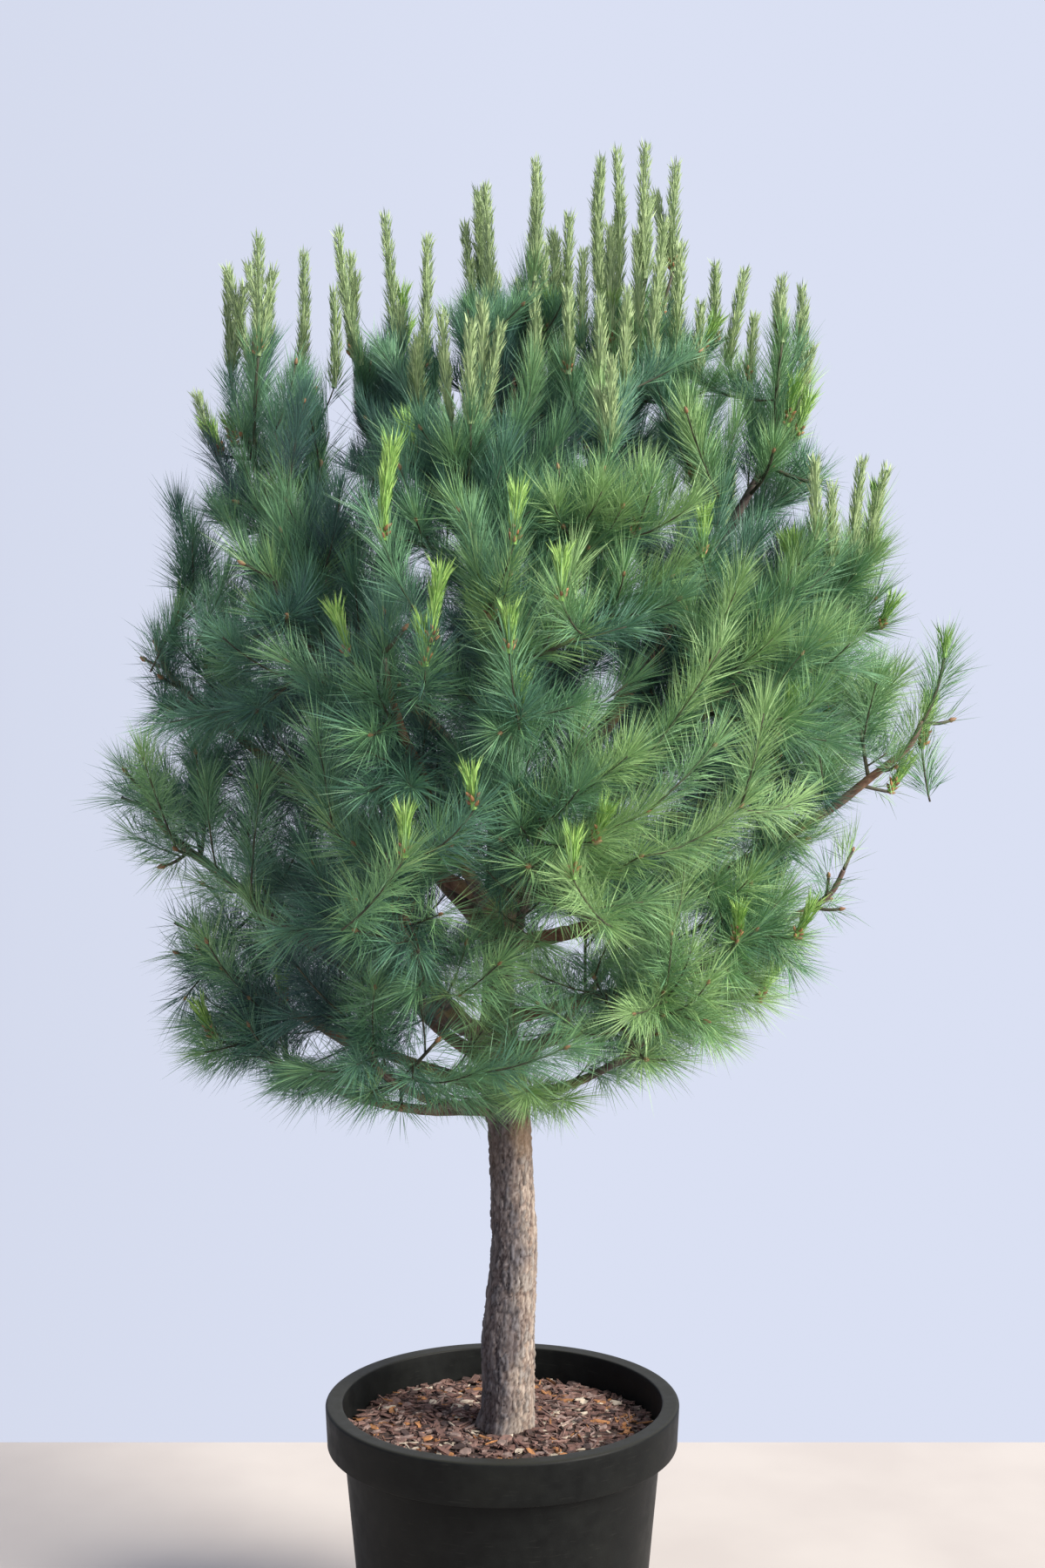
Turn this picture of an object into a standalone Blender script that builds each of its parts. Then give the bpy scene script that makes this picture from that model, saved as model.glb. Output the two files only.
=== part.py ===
"""A young italian stone pine in a round black nursery pot.

The trunk, its boughs and the masses of needles are worked out from the sizes below.
Sizes are in metres. +Z is up, the front of the plant faces -Y, and the origin is the centre of the
pot's flat underside.
"""

import math
import random
from collections import namedtuple

import bmesh
import bpy
import numpy as np
from mathutils import Matrix, Vector

# Gap left between two pieces that touch
GAP = 0.0003
UP = Vector((0.0, 0.0, 1.0))
NEARLY_UPRIGHT = 0.05
TINY = 1e-12

# Pot
POT_HEIGHT = 0.500
POT_RIM_RADIUS = 0.300
POT_RIM_DEPTH = 0.070
POT_RIM_WALL = 0.004
POT_RIM_TAPER = 0.003
POT_NECK_RADIUS = 0.276
POT_FOOT_RADIUS = 0.228
POT_FOOT_ROUND = 0.010
POT_FOOT_CORNER = 0.003
POT_WALL = 0.005
POT_FLOOR = 0.006
POT_SIDES = 36
POT_CREASE = 30
DRAIN_HOLES = 6
DRAIN_HOLE_RADIUS = 0.010
DRAIN_RING_RADIUS = 0.185
DRAIN_CUTTER_SIDES = 8
DRAIN_CUTTER_DEPTH = 0.018

# Soil
SOIL_HEIGHT = 0.450
SOIL_FLAT_RADIUS = 0.080
SOIL_DROP = 0.006

# Trunk: height above the soil, sideways shift and radius at each station
TRUNK_FOOT = SOIL_HEIGHT + GAP
TRUNK_STATIONS = (
    (0.000, 0.001, 0.0480),
    (0.020, 0.008, 0.0435),
    (0.075, 0.010, 0.0425),
    (0.135, 0.010, 0.0445),
    (0.190, 0.011, 0.0430),
    (0.250, 0.017, 0.0405),
    (0.310, 0.020, 0.0390),
    (0.445, 0.015, 0.0355),
    (0.520, 0.011, 0.0355),
    (0.570, 0.005, 0.0375),
    (0.640, -0.006, 0.0335),
    (0.700, -0.008, 0.0275),
    (0.870, -0.006, 0.0245),
    (1.100, 0.000, 0.0200),
    (1.350, 0.014, 0.0150),
    (1.520, 0.020, 0.0110),
    (1.660, 0.021, 0.0080),
)
TRUNK_SIDES = 12
TRUNK_BACKWARD_LEAN = 0.012
FLARE_LOBES = 4
FLARE_DEPTH = 0.10
FLARE_HEIGHT = 0.05
FLARE_TURN = 0.6
TRUNK_CREASE = 40

# Boughs
BOUGH_SIDES = 5
BOUGH_SEGMENTS = 4
BOUGH_FOOT_RADIUS = 0.0075
BOUGH_RADIUS_PER_METRE = 0.0080
BOUGH_TIP_SHARE = 0.55
BOUGH_END_SHARE = 1.10
BOUGH_SAMPLES = 201
BOUGH_CREASE = 50

# Masses of needles. azimuth is in degrees from +X towards +Y, reach and height place the middle of the
# mass, size is its radius, foot is the height where its limb leaves the trunk (0 where the trunk's own
# tip holds it), bow is the limb's sag as a share of its length, weight thickens the bough (0 where the
# stem of the mass springs straight from the trunk), and candles counts the upright new shoots.
Tuft = namedtuple("Tuft", "name azimuth reach height size foot bow weight candles")
TUFTS = (
    Tuft("lowest_left", 191, 0.400, 1.095, 0.130, 1.000, 0.10, 1.0, 0),
    Tuft("lowest_front_left", 237, 0.350, 1.110, 0.125, 1.010, 0.08, 1.0, 0),
    Tuft("lowest_right", 316, 0.330, 1.150, 0.140, 1.015, 0.06, 1.0, 0),
    Tuft("lower_left", 176, 0.500, 1.235, 0.155, 1.030, 0.06, 1.0, 0),
    Tuft("lower_back_left", 128, 0.470, 1.270, 0.200, 1.060, 0.06, 1.2, 0),
    Tuft("lower_back_right", 61, 0.470, 1.240, 0.200, 1.050, 0.06, 1.2, 0),
    Tuft("lower_right", 338, 0.400, 1.280, 0.155, 1.085, 0.05, 1.0, 0),
    Tuft("lower_front_left", 252, 0.500, 1.400, 0.150, 1.095, 0.08, 1.5, 1),
    Tuft("left_limb", 189, 0.570, 1.480, 0.145, 1.110, 0.05, 1.2, 0),
    Tuft("lower_right_tip", 358, 0.555, 1.360, 0.120, 1.145, 0.05, 0.9, 1),
    Tuft("lower_front", 277, 0.470, 1.450, 0.150, 1.210, 0.05, 1.0, 1),
    Tuft("right_tip", 352, 0.680, 1.610, 0.115, 1.270, 0.08, 1.0, 2),
    Tuft("back_left", 136, 0.540, 1.760, 0.210, 1.280, 0.05, 1.2, 3),
    Tuft("back_right", 49, 0.550, 1.780, 0.210, 1.300, 0.05, 1.2, 3),
    Tuft("front_left", 253, 0.530, 1.680, 0.145, 1.315, 0.05, 1.0, 1),
    Tuft("right_outer", 8, 0.510, 1.630, 0.155, 1.350, 0.05, 1.0, 0),
    Tuft("left_tip", 184, 0.560, 1.730, 0.150, 1.340, 0.05, 1.0, 0),
    Tuft("right_front", 322, 0.460, 1.710, 0.155, 1.380, 0.05, 1.0, 1),
    Tuft("back_centre", 92, 0.560, 1.700, 0.210, 1.400, 0.05, 1.2, 1),
    Tuft("upper_right", 350, 0.450, 2.085, 0.165, 1.430, 0.05, 1.2, 4),
    Tuft("front_centre", 272, 0.500, 1.700, 0.140, 1.450, 0.05, 1.0, 1),
    Tuft("left_inner", 220, 0.430, 1.800, 0.160, 1.480, 0.05, 1.0, 1),
    Tuft("upper_far_left", 187, 0.410, 2.060, 0.170, 1.520, 0.06, 1.0, 4),
    Tuft("front_right", 287, 0.390, 1.870, 0.150, 1.560, 0.05, 1.0, 2),
    Tuft("upper_far_right", 5, 0.590, 1.840, 0.145, 1.520, 0.06, 1.0, 3),
    Tuft("upper_back", 85, 0.360, 2.130, 0.190, 1.640, 0.04, 1.0, 4),
    Tuft("upper_front", 259, 0.330, 1.960, 0.150, 1.670, 0.05, 1.0, 3),
    Tuft("top_left", 168, 0.210, 2.150, 0.150, 1.880, 0.05, 0.0, 3),
    Tuft("top_right", 356, 0.245, 2.230, 0.160, 1.930, 0.05, 0.0, 4),
    Tuft("top_centre", 45, 0.030, 2.235, 0.150, 0.000, 0.00, 0.0, 4),
)

# Space of each mass, as shares of its size
CROWN_HEART = (0.0, 0.0, 1.55)
OUTER_REACH = 1.12
INNER_REACH = 1.60
SIDE_REACH = 1.42
CELL_MARGIN = 0.001
LIMB_CLEARANCE = 0.004
REACH_STEP = 0.01

# Twigs, needles and candles
SEED = 20
STEM_SIDES = 4
STEM_RADIUS = 0.0065
STEM_TIP_RADIUS = 0.0048
STEM_RISE = 0.45
STEM_LIFT = 1.2
STEM_BARE = 0.10
SIDE_SHOOTS = 6.6
SIDE_SHOOTS_SIZE = 0.150
SIDE_SHOOTS_GROWTH = 1.2
TRIES = 14
LONGEST_SHOOT = 0.220
SHORTEST_SHOOT = 0.050
SHOOT_FORWARD = (0.1, 0.8)
SHOOT_CLIMB = (-0.1, 0.5)
BRUSH_HEART = 0.8
SHOOT_RADIUS = 0.0036
SHOOT_TIP_RADIUS = 0.0026
GOLDEN_ANGLE = math.radians(137.5)
BRUSH_SHARES = (0.32, 0.60, 0.86)
NEEDLE_LENGTH = 0.120
NEEDLE_SPREAD = (0.85, 1.05)
NEEDLE_TURN = math.radians(25)
NEEDLE_LEAN = math.radians(38)
NEEDLE_TOP_LEAN = math.radians(55)
NEEDLE_POINT = 0.0008
NEEDLE_CLEARANCE = 0.005
NEEDLE_ROOT_SHARE = 0.3
TOP_NEEDLE = 0.9
TIP_NEEDLE = 0.45
LONGEST_TIP = NEEDLE_LENGTH * TIP_NEEDLE * NEEDLE_SPREAD[1]
CANDLE_STRETCH = 0.45
CANDLE_FAN = math.radians(50)
CANDLE_FIRST = 0.3
CANDLE_TURN = 0.3
CANDLE_TILT = (0.02, 0.08)
CANDLE_HEIGHTS = (0.80, 1.0)
CANDLES_TOGETHER = (1, 2, 2)
TWIN_SPLAY = math.radians(11)
TWIN_TURN = (0.6, 1.1)
TWIN_SHORTER = 0.25
CANDLE_ROOM = 1.10
CANDLE_RADIUS = 0.0110
CANDLE_STATIONS = ((0.10, 0.9), (0.82, 0.8), (1.0, 0.1))
CANDLE_NEEDLE = 0.020
CANDLE_LEAN = math.radians(62)
CANDLE_LONGEST = 0.255
CANDLE_SHORTEST = 0.070
CANDLE_GROWTH = 0.32
CANDLE_FROM_HEIGHT = 1.500

# Colours
BARK = (0.40, 0.27, 0.19)
BOUGH_BARK = (0.22, 0.15, 0.11)
POT_BLACK = (0.018, 0.020, 0.020)
SOIL_BROWN = (0.24, 0.12, 0.08)
NEEDLE_GREEN = (0.05, 0.16, 0.07)


def clear_scene():
    for obj in list(bpy.data.objects):
        bpy.data.objects.remove(obj, do_unlink=True)


def material(name, colour, roughness, metallic=0.0):
    made = bpy.data.materials.new(name)
    made.use_nodes = True
    shader = made.node_tree.nodes["Principled BSDF"]
    shader.inputs["Base Color"].default_value = (*colour, 1.0)
    shader.inputs["Roughness"].default_value = roughness
    shader.inputs["Metallic"].default_value = metallic
    return made


def object_from(bm, name, finish=None, collection=None):
    mesh = bpy.data.meshes.new(name)
    bmesh.ops.recalc_face_normals(bm, faces=bm.faces)
    bm.to_mesh(mesh)
    bm.free()
    if finish is not None:
        mesh.materials.append(finish)
    obj = bpy.data.objects.new(name, mesh)
    (collection or bpy.context.scene.collection).objects.link(obj)
    return obj


def make_guide(obj):
    obj.hide_render = True
    obj.display_type = "WIRE"
    return obj


def cut(obj, cutter):
    boolean = obj.modifiers.new("cut_" + cutter.name, "BOOLEAN")
    boolean.operation = "DIFFERENCE"
    boolean.object = cutter
    boolean.solver = "EXACT"


def shade_round(obj, angle):
    obj.data.shade_smooth()
    obj.data.set_sharp_from_angle(angle=math.radians(angle))


def polar(azimuth, reach, height):
    turn = math.radians(azimuth)
    return Vector((reach * math.cos(turn), reach * math.sin(turn), height))


def square_to(direction):
    """Two directions square to this one and to each other."""
    side = direction.cross(UP)
    if side.length < NEARLY_UPRIGHT:
        side = direction.cross(Vector((0.0, 1.0, 0.0)))
    side.normalize()
    return side, side.cross(direction).normalized()


def turned_body(name, profile, sides, finish):
    """A closed body turned round Z from (radius, height) points, from its foot's middle outwards."""
    bm = bmesh.new()
    rings = []
    for radius, height in profile:
        if radius:
            turns = [360 * index / sides for index in range(sides)]
            rings.append([bm.verts.new(polar(turn, radius, height)) for turn in turns])
        else:
            rings.append([bm.verts.new((0.0, 0.0, height))] * sides)
    for low, high in zip(rings, rings[1:]):
        for index in range(sides):
            following = (index + 1) % sides
            corners = (low[index], low[following], high[following], high[index])
            bm.faces.new(dict.fromkeys(corners))
    return object_from(bm, name, finish)


def pot_radius(height):
    """Radius of the pot's outer wall at this height."""
    share = height / POT_HEIGHT
    return POT_FOOT_RADIUS + (POT_NECK_RADIUS - POT_FOOT_RADIUS) * share


def build_pot():
    """The turned pot: a flat floor, a tapering wall and a rim whose skirt hangs clear of the wall."""
    skirt_foot = POT_HEIGHT - POT_RIM_DEPTH
    profile = [
        (0.0, 0.0),
        (POT_FOOT_RADIUS - POT_FOOT_ROUND, 0.0),
        (POT_FOOT_RADIUS - POT_FOOT_CORNER, POT_FOOT_CORNER),
        (pot_radius(POT_FOOT_ROUND), POT_FOOT_ROUND),
        (pot_radius(POT_HEIGHT - POT_RIM_WALL), POT_HEIGHT - POT_RIM_WALL),
        (POT_RIM_RADIUS - POT_RIM_WALL, POT_HEIGHT - POT_RIM_WALL),
        (POT_RIM_RADIUS - POT_RIM_WALL - POT_RIM_TAPER, skirt_foot),
        (POT_RIM_RADIUS - POT_RIM_TAPER, skirt_foot),
        (POT_RIM_RADIUS, POT_HEIGHT - POT_RIM_WALL),
        (POT_RIM_RADIUS - POT_RIM_WALL, POT_HEIGHT),
        (POT_NECK_RADIUS - POT_WALL, POT_HEIGHT),
        (pot_radius(POT_FLOOR) - POT_WALL, POT_FLOOR),
        (0.0, POT_FLOOR),
    ]
    pot = turned_body("pot", profile, POT_SIDES, material("pot_plastic", POT_BLACK, 0.55))
    for index in range(DRAIN_HOLES):
        place = polar(360 * (index + 0.5) / DRAIN_HOLES, DRAIN_RING_RADIUS, 0)
        bm = bmesh.new()
        bmesh.ops.create_cone(
            bm,
            cap_ends=True,
            segments=DRAIN_CUTTER_SIDES,
            radius1=DRAIN_HOLE_RADIUS,
            radius2=DRAIN_HOLE_RADIUS,
            depth=DRAIN_CUTTER_DEPTH,
            matrix=Matrix.Translation(place),
        )
        cut(pot, make_guide(object_from(bm, f"drain_cutter_{index}")))
    shade_round(pot, POT_CREASE)
    return pot


def build_soil():
    """Soil under a mulch of bark, filling the pot, flat where the trunk stands on it."""
    # A turned wall's flats lie inside its radius, so both walls keep the gap at their corners too.
    clearance = GAP / math.cos(math.pi / POT_SIDES)
    floor = POT_FLOOR + GAP
    edge_height = SOIL_HEIGHT - SOIL_DROP

    def inner(height):
        share = (height - POT_FLOOR) / (POT_HEIGHT - POT_FLOOR)
        foot = pot_radius(POT_FLOOR) - POT_WALL
        return foot + (POT_NECK_RADIUS - POT_WALL - foot) * share - clearance

    profile = [
        (0.0, floor),
        (inner(floor), floor),
        (inner(edge_height), edge_height),
        (SOIL_FLAT_RADIUS, SOIL_HEIGHT),
        (0.0, SOIL_HEIGHT),
    ]
    soil = turned_body("potting_soil", profile, POT_SIDES, material("bark_mulch", SOIL_BROWN, 0.95))
    shade_round(soil, POT_CREASE)
    return soil


def trunk_at(height):
    """Centre and radius of the trunk at this height above the pot's underside."""
    heights, shifts, radii = zip(*TRUNK_STATIONS)
    above = height - TRUNK_FOOT
    back = TRUNK_BACKWARD_LEAN * (above / heights[-1]) ** 2
    centre = Vector((float(np.interp(above, heights, shifts)), back, height))
    return centre, float(np.interp(above, heights, radii))


def add_ring(bm, centre, frame, radius, sides, radius_at=None):
    """Points on a circle, in the plane of the frame's two directions."""
    side, other = frame
    ring = []
    for index in range(sides):
        turn = math.tau * index / sides
        reach = radius if radius_at is None else radius_at(turn)
        ring.append(bm.verts.new(centre + (side * math.cos(turn) + other * math.sin(turn)) * reach))
    return ring


def add_rings(bm, stations, sides):
    """A ring at each (centre, direction, radius), with no twist from one to the next."""
    rings = []
    frame = square_to(stations[0][1])
    for centre, direction, radius in stations:
        side = (frame[0] - direction * frame[0].dot(direction)).normalized()
        frame = side, side.cross(direction).normalized()
        rings.append(add_ring(bm, centre, frame, radius, sides))
    return rings


def join_rings(bm, rings):
    """Quads between rings, and the two end caps. Returns the quads, band by band."""
    bands = []
    for low, high in zip(rings, rings[1:]):
        count = len(low)
        band = []
        for index in range(count):
            following = (index + 1) % count
            band.append(bm.faces.new((low[index], low[following], high[following], high[index])))
        bands.append(band)
    bm.faces.new(reversed(rings[0]))
    bm.faces.new(rings[-1])
    return bands


def trunk_body(name, grown, finish=None):
    """The trunk's own shape, with its radius grown by a clearance where it serves as a cutter."""
    bm = bmesh.new()
    rings = []
    for above, _, _ in TRUNK_STATIONS:
        centre, radius = trunk_at(TRUNK_FOOT + above)
        flare = FLARE_DEPTH * math.exp(-above / FLARE_HEIGHT)

        def radius_at(turn, radius=radius, flare=flare):
            return radius * (1 + flare * math.cos(FLARE_LOBES * turn + FLARE_TURN)) + grown

        rings.append(add_ring(bm, centre, square_to(UP), radius, TRUNK_SIDES, radius_at))
    join_rings(bm, rings)
    return object_from(bm, name, finish)


def build_trunk():
    trunk = trunk_body("trunk", 0.0, material("trunk_bark", BARK, 0.9))
    shade_round(trunk, TRUNK_CREASE)
    return trunk


def middle_of(tuft):
    return polar(tuft.azimuth, tuft.reach, tuft.height)


def limb_curve(tuft):
    """The quadratic curve from the trunk's heart to the middle of the mass: its three control points."""
    middle = middle_of(tuft)
    if not tuft.foot:
        tip = trunk_at(TRUNK_FOOT + TRUNK_STATIONS[-1][0])[0]
        return tip, (tip + middle) / 2, middle
    foot = trunk_at(tuft.foot)[0]
    sag = tuft.bow * (middle - foot).length
    return foot, (foot + middle) / 2 - UP * 2 * sag, middle


def on_curve(curve, share):
    start, control, end = curve
    rest = 1 - share
    return start * rest * rest + control * 2 * rest * share + end * share * share


def along_curve(curve, share):
    start, control, end = curve
    return ((control - start) * (1 - share) + (end - control) * share).normalized()


def bough_end(tuft):
    """The curve's share at which the bough gives way to the stem of its mass."""
    if not tuft.weight:
        return 0.0
    curve = limb_curve(tuft)
    shares = np.linspace(0, 1, BOUGH_SAMPLES)
    gaps = [(on_curve(curve, share) - curve[2]).length for share in shares]
    near = [share for share, gap in zip(shares, gaps) if gap < tuft.size * BOUGH_END_SHARE]
    return float(near[0])


def bough_sizes(tuft):
    """Radius at the bough's foot and at its tip."""
    curve = limb_curve(tuft)
    length = (curve[2] - curve[0]).length
    foot = (BOUGH_FOOT_RADIUS + BOUGH_RADIUS_PER_METRE * length) * tuft.weight
    return foot, max(foot * BOUGH_TIP_SHARE, STEM_RADIUS)


def bough_stations(tuft):
    """Centre, direction and radius along the bough, from the trunk's heart to its tip."""
    curve = limb_curve(tuft)
    end = bough_end(tuft)
    foot_radius, tip_radius = bough_sizes(tuft)
    stations = []
    for index in range(BOUGH_SEGMENTS + 1):
        share = index / BOUGH_SEGMENTS
        radius = foot_radius + (tip_radius - foot_radius) * share
        stations.append((on_curve(curve, share * end), along_curve(curve, share * end), radius))
    return stations


def build_bough(tuft, trunk_cutter, finish):
    bm = bmesh.new()
    join_rings(bm, add_rings(bm, bough_stations(tuft), BOUGH_SIDES))
    bough = object_from(bm, "bough_" + tuft.name, finish)
    cut(bough, trunk_cutter)
    shade_round(bough, BOUGH_CREASE)
    return bough


def run_gaps(start, end, starts, spans):
    """Distance from one straight run to each of the others."""
    start = np.array(start)
    span = np.array(end) - start
    between = start - starts
    own_square = span @ span
    squares = (spans * spans).sum(axis=1)
    across = spans @ span
    lead = (spans * between).sum(axis=1)
    own_lead = between @ span
    spread = np.maximum(own_square * squares - across**2, TINY)
    own = np.clip((across * lead - own_lead * squares) / spread, 0, 1)
    other = np.clip((across * own + lead) / squares, 0, 1)
    own = np.clip((across * other - own_lead) / own_square, 0, 1)
    return np.linalg.norm(between + own[:, None] * span - other[:, None] * spans, axis=1)


class Space:
    """Where the needles of each mass may grow: in its own cell, near its middle and clear of every limb."""

    def __init__(self, tufts):
        self.middles = np.array([middle_of(tuft) for tuft in tufts])
        self.sizes = np.array([tuft.size for tuft in tufts])
        outward = self.middles - np.array(CROWN_HEART)
        self.outward = outward / np.linalg.norm(outward, axis=1)[:, None]
        trunk = [trunk_at(TRUNK_FOOT + above) for above, _, _ in TRUNK_STATIONS]
        limbs = [trunk]
        for tuft in tufts:
            if tuft.weight:
                limbs.append([(centre, radius) for centre, _, radius in bough_stations(tuft)])
        runs = [pair for limb in limbs for pair in zip(limb, limb[1:])]
        self.starts = np.array([start for (start, _), _ in runs])
        self.spans = np.array([end for _, (end, _) in runs]) - self.starts
        self.radii = np.array([radius for (_, radius), _ in runs])

    def in_cell(self, index, point):
        """True where the point is nearer to this mass than to any other, by power distance."""
        power = ((self.middles - np.array(point)) ** 2).sum(axis=1) - self.sizes**2
        apart = np.linalg.norm(self.middles - self.middles[index], axis=1)
        return bool((power - power[index] >= 2 * CELL_MARGIN * apart).all())

    def in_reach(self, index, point):
        """True within the mass's own reach, which is longer sideways and inwards than outwards."""
        away = np.array(point) - self.middles[index]
        out = float(away @ self.outward[index])
        sideways = np.linalg.norm(away - out * self.outward[index]) / SIDE_REACH
        out = out / OUTER_REACH if out > 0 else out / INNER_REACH
        return math.hypot(out, sideways) <= self.sizes[index]

    def holds(self, index, point):
        return self.in_cell(index, point) and self.in_reach(index, point)

    def clear_of_limbs(self, start, end, width):
        """True where a straight run from start to end stays clear of the trunk and the boughs."""
        gaps = run_gaps(start, end, self.starts, self.spans) - self.radii
        return bool((gaps > width + LIMB_CLEARANCE).all())


def stem_points(tuft):
    """The stem of a mass: it goes on from the limb that holds it and bends up past the middle."""
    curve = limb_curve(tuft)
    end = bough_end(tuft)
    direction = along_curve(curve, end) if tuft.foot else UP
    clear = 0.0 if tuft.foot and not tuft.weight else GAP
    entry = on_curve(curve, end) + direction * clear
    halfway = on_curve(curve, (end + 1) / 2)
    middle = middle_of(tuft)
    lift = (along_curve(curve, 1.0) + UP * STEM_LIFT).normalized()
    return [entry, halfway, middle, middle + lift * tuft.size * STEM_RISE], direction


def on_stem(points, share):
    lengths = [(b - a).length for a, b in zip(points, points[1:])]
    left = share * sum(lengths)
    for (start, end), length in zip(zip(points, points[1:]), lengths):
        if left <= length:
            return start.lerp(end, left / length), (end - start).normalized()
        left -= length
    return points[-1], (points[-1] - points[-2]).normalized()


def candle_length(tuft):
    grown = CANDLE_SHORTEST + CANDLE_GROWTH * (tuft.height - CANDLE_FROM_HEIGHT)
    return min(max(grown, CANDLE_SHORTEST), CANDLE_LONGEST)


def reach_inside(start, direction, longest, holds):
    """How far a straight run may go before holds, which tests a point, says that it has left."""
    length = 0.0
    while length < longest and holds(start + direction * (length + REACH_STEP)):
        length += REACH_STEP
    return length


def leaning(turn, tilt):
    aside = Vector((math.cos(turn), math.sin(turn), 0.0))
    return aside * math.sin(tilt) + UP * math.cos(tilt)


Shoot = namedtuple("Shoot", "start end candles")


def plan_candles(tuft, index, space, rng, points):
    """The shoots that carry upright candles: they fan upwards from the top of the stem."""
    shoots = []
    for number in range(tuft.candles):
        start, _ = on_stem(points, 1 - CANDLE_STRETCH * (number + 0.5) / tuft.candles)
        turn = number * GOLDEN_ANGLE + rng.uniform(-CANDLE_TURN, CANDLE_TURN)
        direction = leaning(turn, CANDLE_FAN * math.sqrt((number + CANDLE_FIRST) / tuft.candles))
        length = reach_inside(start, direction, LONGEST_SHOOT, lambda point: space.holds(index, point))
        end = start + direction * length
        if length < SHORTEST_SHOOT or not space.clear_of_limbs(start, end, SHOOT_RADIUS):
            continue
        candles = []
        for twin in range(rng.choice(CANDLES_TOGETHER)):
            side_turn = turn + twin * math.pi * rng.uniform(*TWIN_TURN)
            rise = leaning(side_turn, rng.uniform(*CANDLE_TILT) + TWIN_SPLAY * (twin > 0))
            tall = candle_length(tuft) * rng.uniform(*CANDLE_HEIGHTS) * (1 - TWIN_SHORTER * (twin > 0))
            tall = reach_inside(end, rise, tall, lambda point: space.in_cell(index, point)) / CANDLE_ROOM
            if tall > CANDLE_SHORTEST / 2:
                candles.append(rise * tall)
        if candles:
            shoots.append(Shoot(start, end, candles))
    return shoots


def plan_shoots(tuft, index, space, spread):
    """The shoots of one mass, by a seeded rule. Of several tries at each side shoot, the one whose brush is
    farthest from every brush so far is kept, so that they spread evenly through the crown."""
    rng = random.Random(SEED * 1000 + index)
    points, _ = stem_points(tuft)
    shoots = plan_candles(tuft, index, space, rng, points)
    spread += [shoot.end for shoot in shoots]
    for _ in range(round(SIDE_SHOOTS * (tuft.size / SIDE_SHOOTS_SIZE) ** SIDE_SHOOTS_GROWTH)):
        best = None
        for _ in range(TRIES):
            start, stem_way = on_stem(points, rng.uniform(STEM_BARE, 1.0))
            side, other = square_to(stem_way)
            turn = rng.uniform(0, math.tau)
            outward = side * math.cos(turn) + other * math.sin(turn)
            forward = stem_way * rng.uniform(*SHOOT_FORWARD)
            direction = (outward + forward + UP * rng.uniform(*SHOOT_CLIMB)).normalized()
            reach = reach_inside(start, direction, LONGEST_SHOOT, lambda point: space.holds(index, point))
            end = start + direction * (reach - LONGEST_TIP)
            if reach < SHORTEST_SHOOT + LONGEST_TIP:
                continue
            clear_start = start + direction * STEM_RADIUS
            if not space.clear_of_limbs(clear_start, start + direction * reach, SHOOT_RADIUS):
                continue
            brush = np.array(start.lerp(end, BRUSH_HEART))
            lonely = np.linalg.norm(np.array(spread) - brush, axis=1).min() if spread else 1.0
            if best is None or lonely > best[0]:
                best = lonely, Shoot(start, end, [])
        if best:
            shoots.append(best[1])
            spread.append(best[1].start.lerp(best[1].end, BRUSH_HEART))
    return shoots


class Needles:
    """The needles that one mass has so far, so that the next one can keep clear of them."""

    def __init__(self, index, space, shoots):
        self.index = index
        self.space = space
        self.starts = [shoot.start for shoot in shoots]
        self.ends = [shoot.end for shoot in shoots]
        for shoot in shoots:
            for candle in shoot.candles:
                self.starts.append(shoot.end)
                self.ends.append(shoot.end + candle)

    def crowded(self, start, tip):
        starts = np.array(self.starts)
        near = run_gaps(start.lerp(tip, NEEDLE_ROOT_SHARE), tip, starts, np.array(self.ends) - starts)
        return bool((near < NEEDLE_CLEARANCE).any())

    def stand(self, bm, faces, line, length, lean, turn):
        """Raises a needle from each triangle, as a slim blade that leans forward along the shoot."""
        start, way = line
        for face in faces:
            middle = face.calc_center_median()
            heart = start + way * (middle - start).dot(way)
            outward = Matrix.Rotation(turn if face.tag else -turn, 3, way) @ (middle - heart).normalized()
            tip = middle + (outward * math.cos(lean) + way * math.sin(lean)) * length
            if not self.space.in_cell(self.index, tip) or self.crowded(middle, tip):
                continue
            if turn and not self.space.in_reach(self.index, tip):
                continue
            corners = [middle, *(vert.co for vert in face.verts)]
            if not all(self.space.clear_of_limbs(corner, tip, 0) for corner in corners):
                continue
            made = bmesh.ops.poke(bm, faces=[face])
            made["verts"][0].co = tip
            self.starts.append(middle)
            self.ends.append(tip)


def split_quads(bm, quads):
    """Each quad as two triangles, of which the one on the turning side is tagged."""
    halves = []
    for quad in quads:
        low, low_next, high_next, high = quad.verts
        bm.faces.remove(quad)
        right = bm.faces.new((low, low_next, high_next))
        left = bm.faces.new((low, high_next, high))
        right.tag = True
        halves += [right, left]
    return halves


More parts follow.
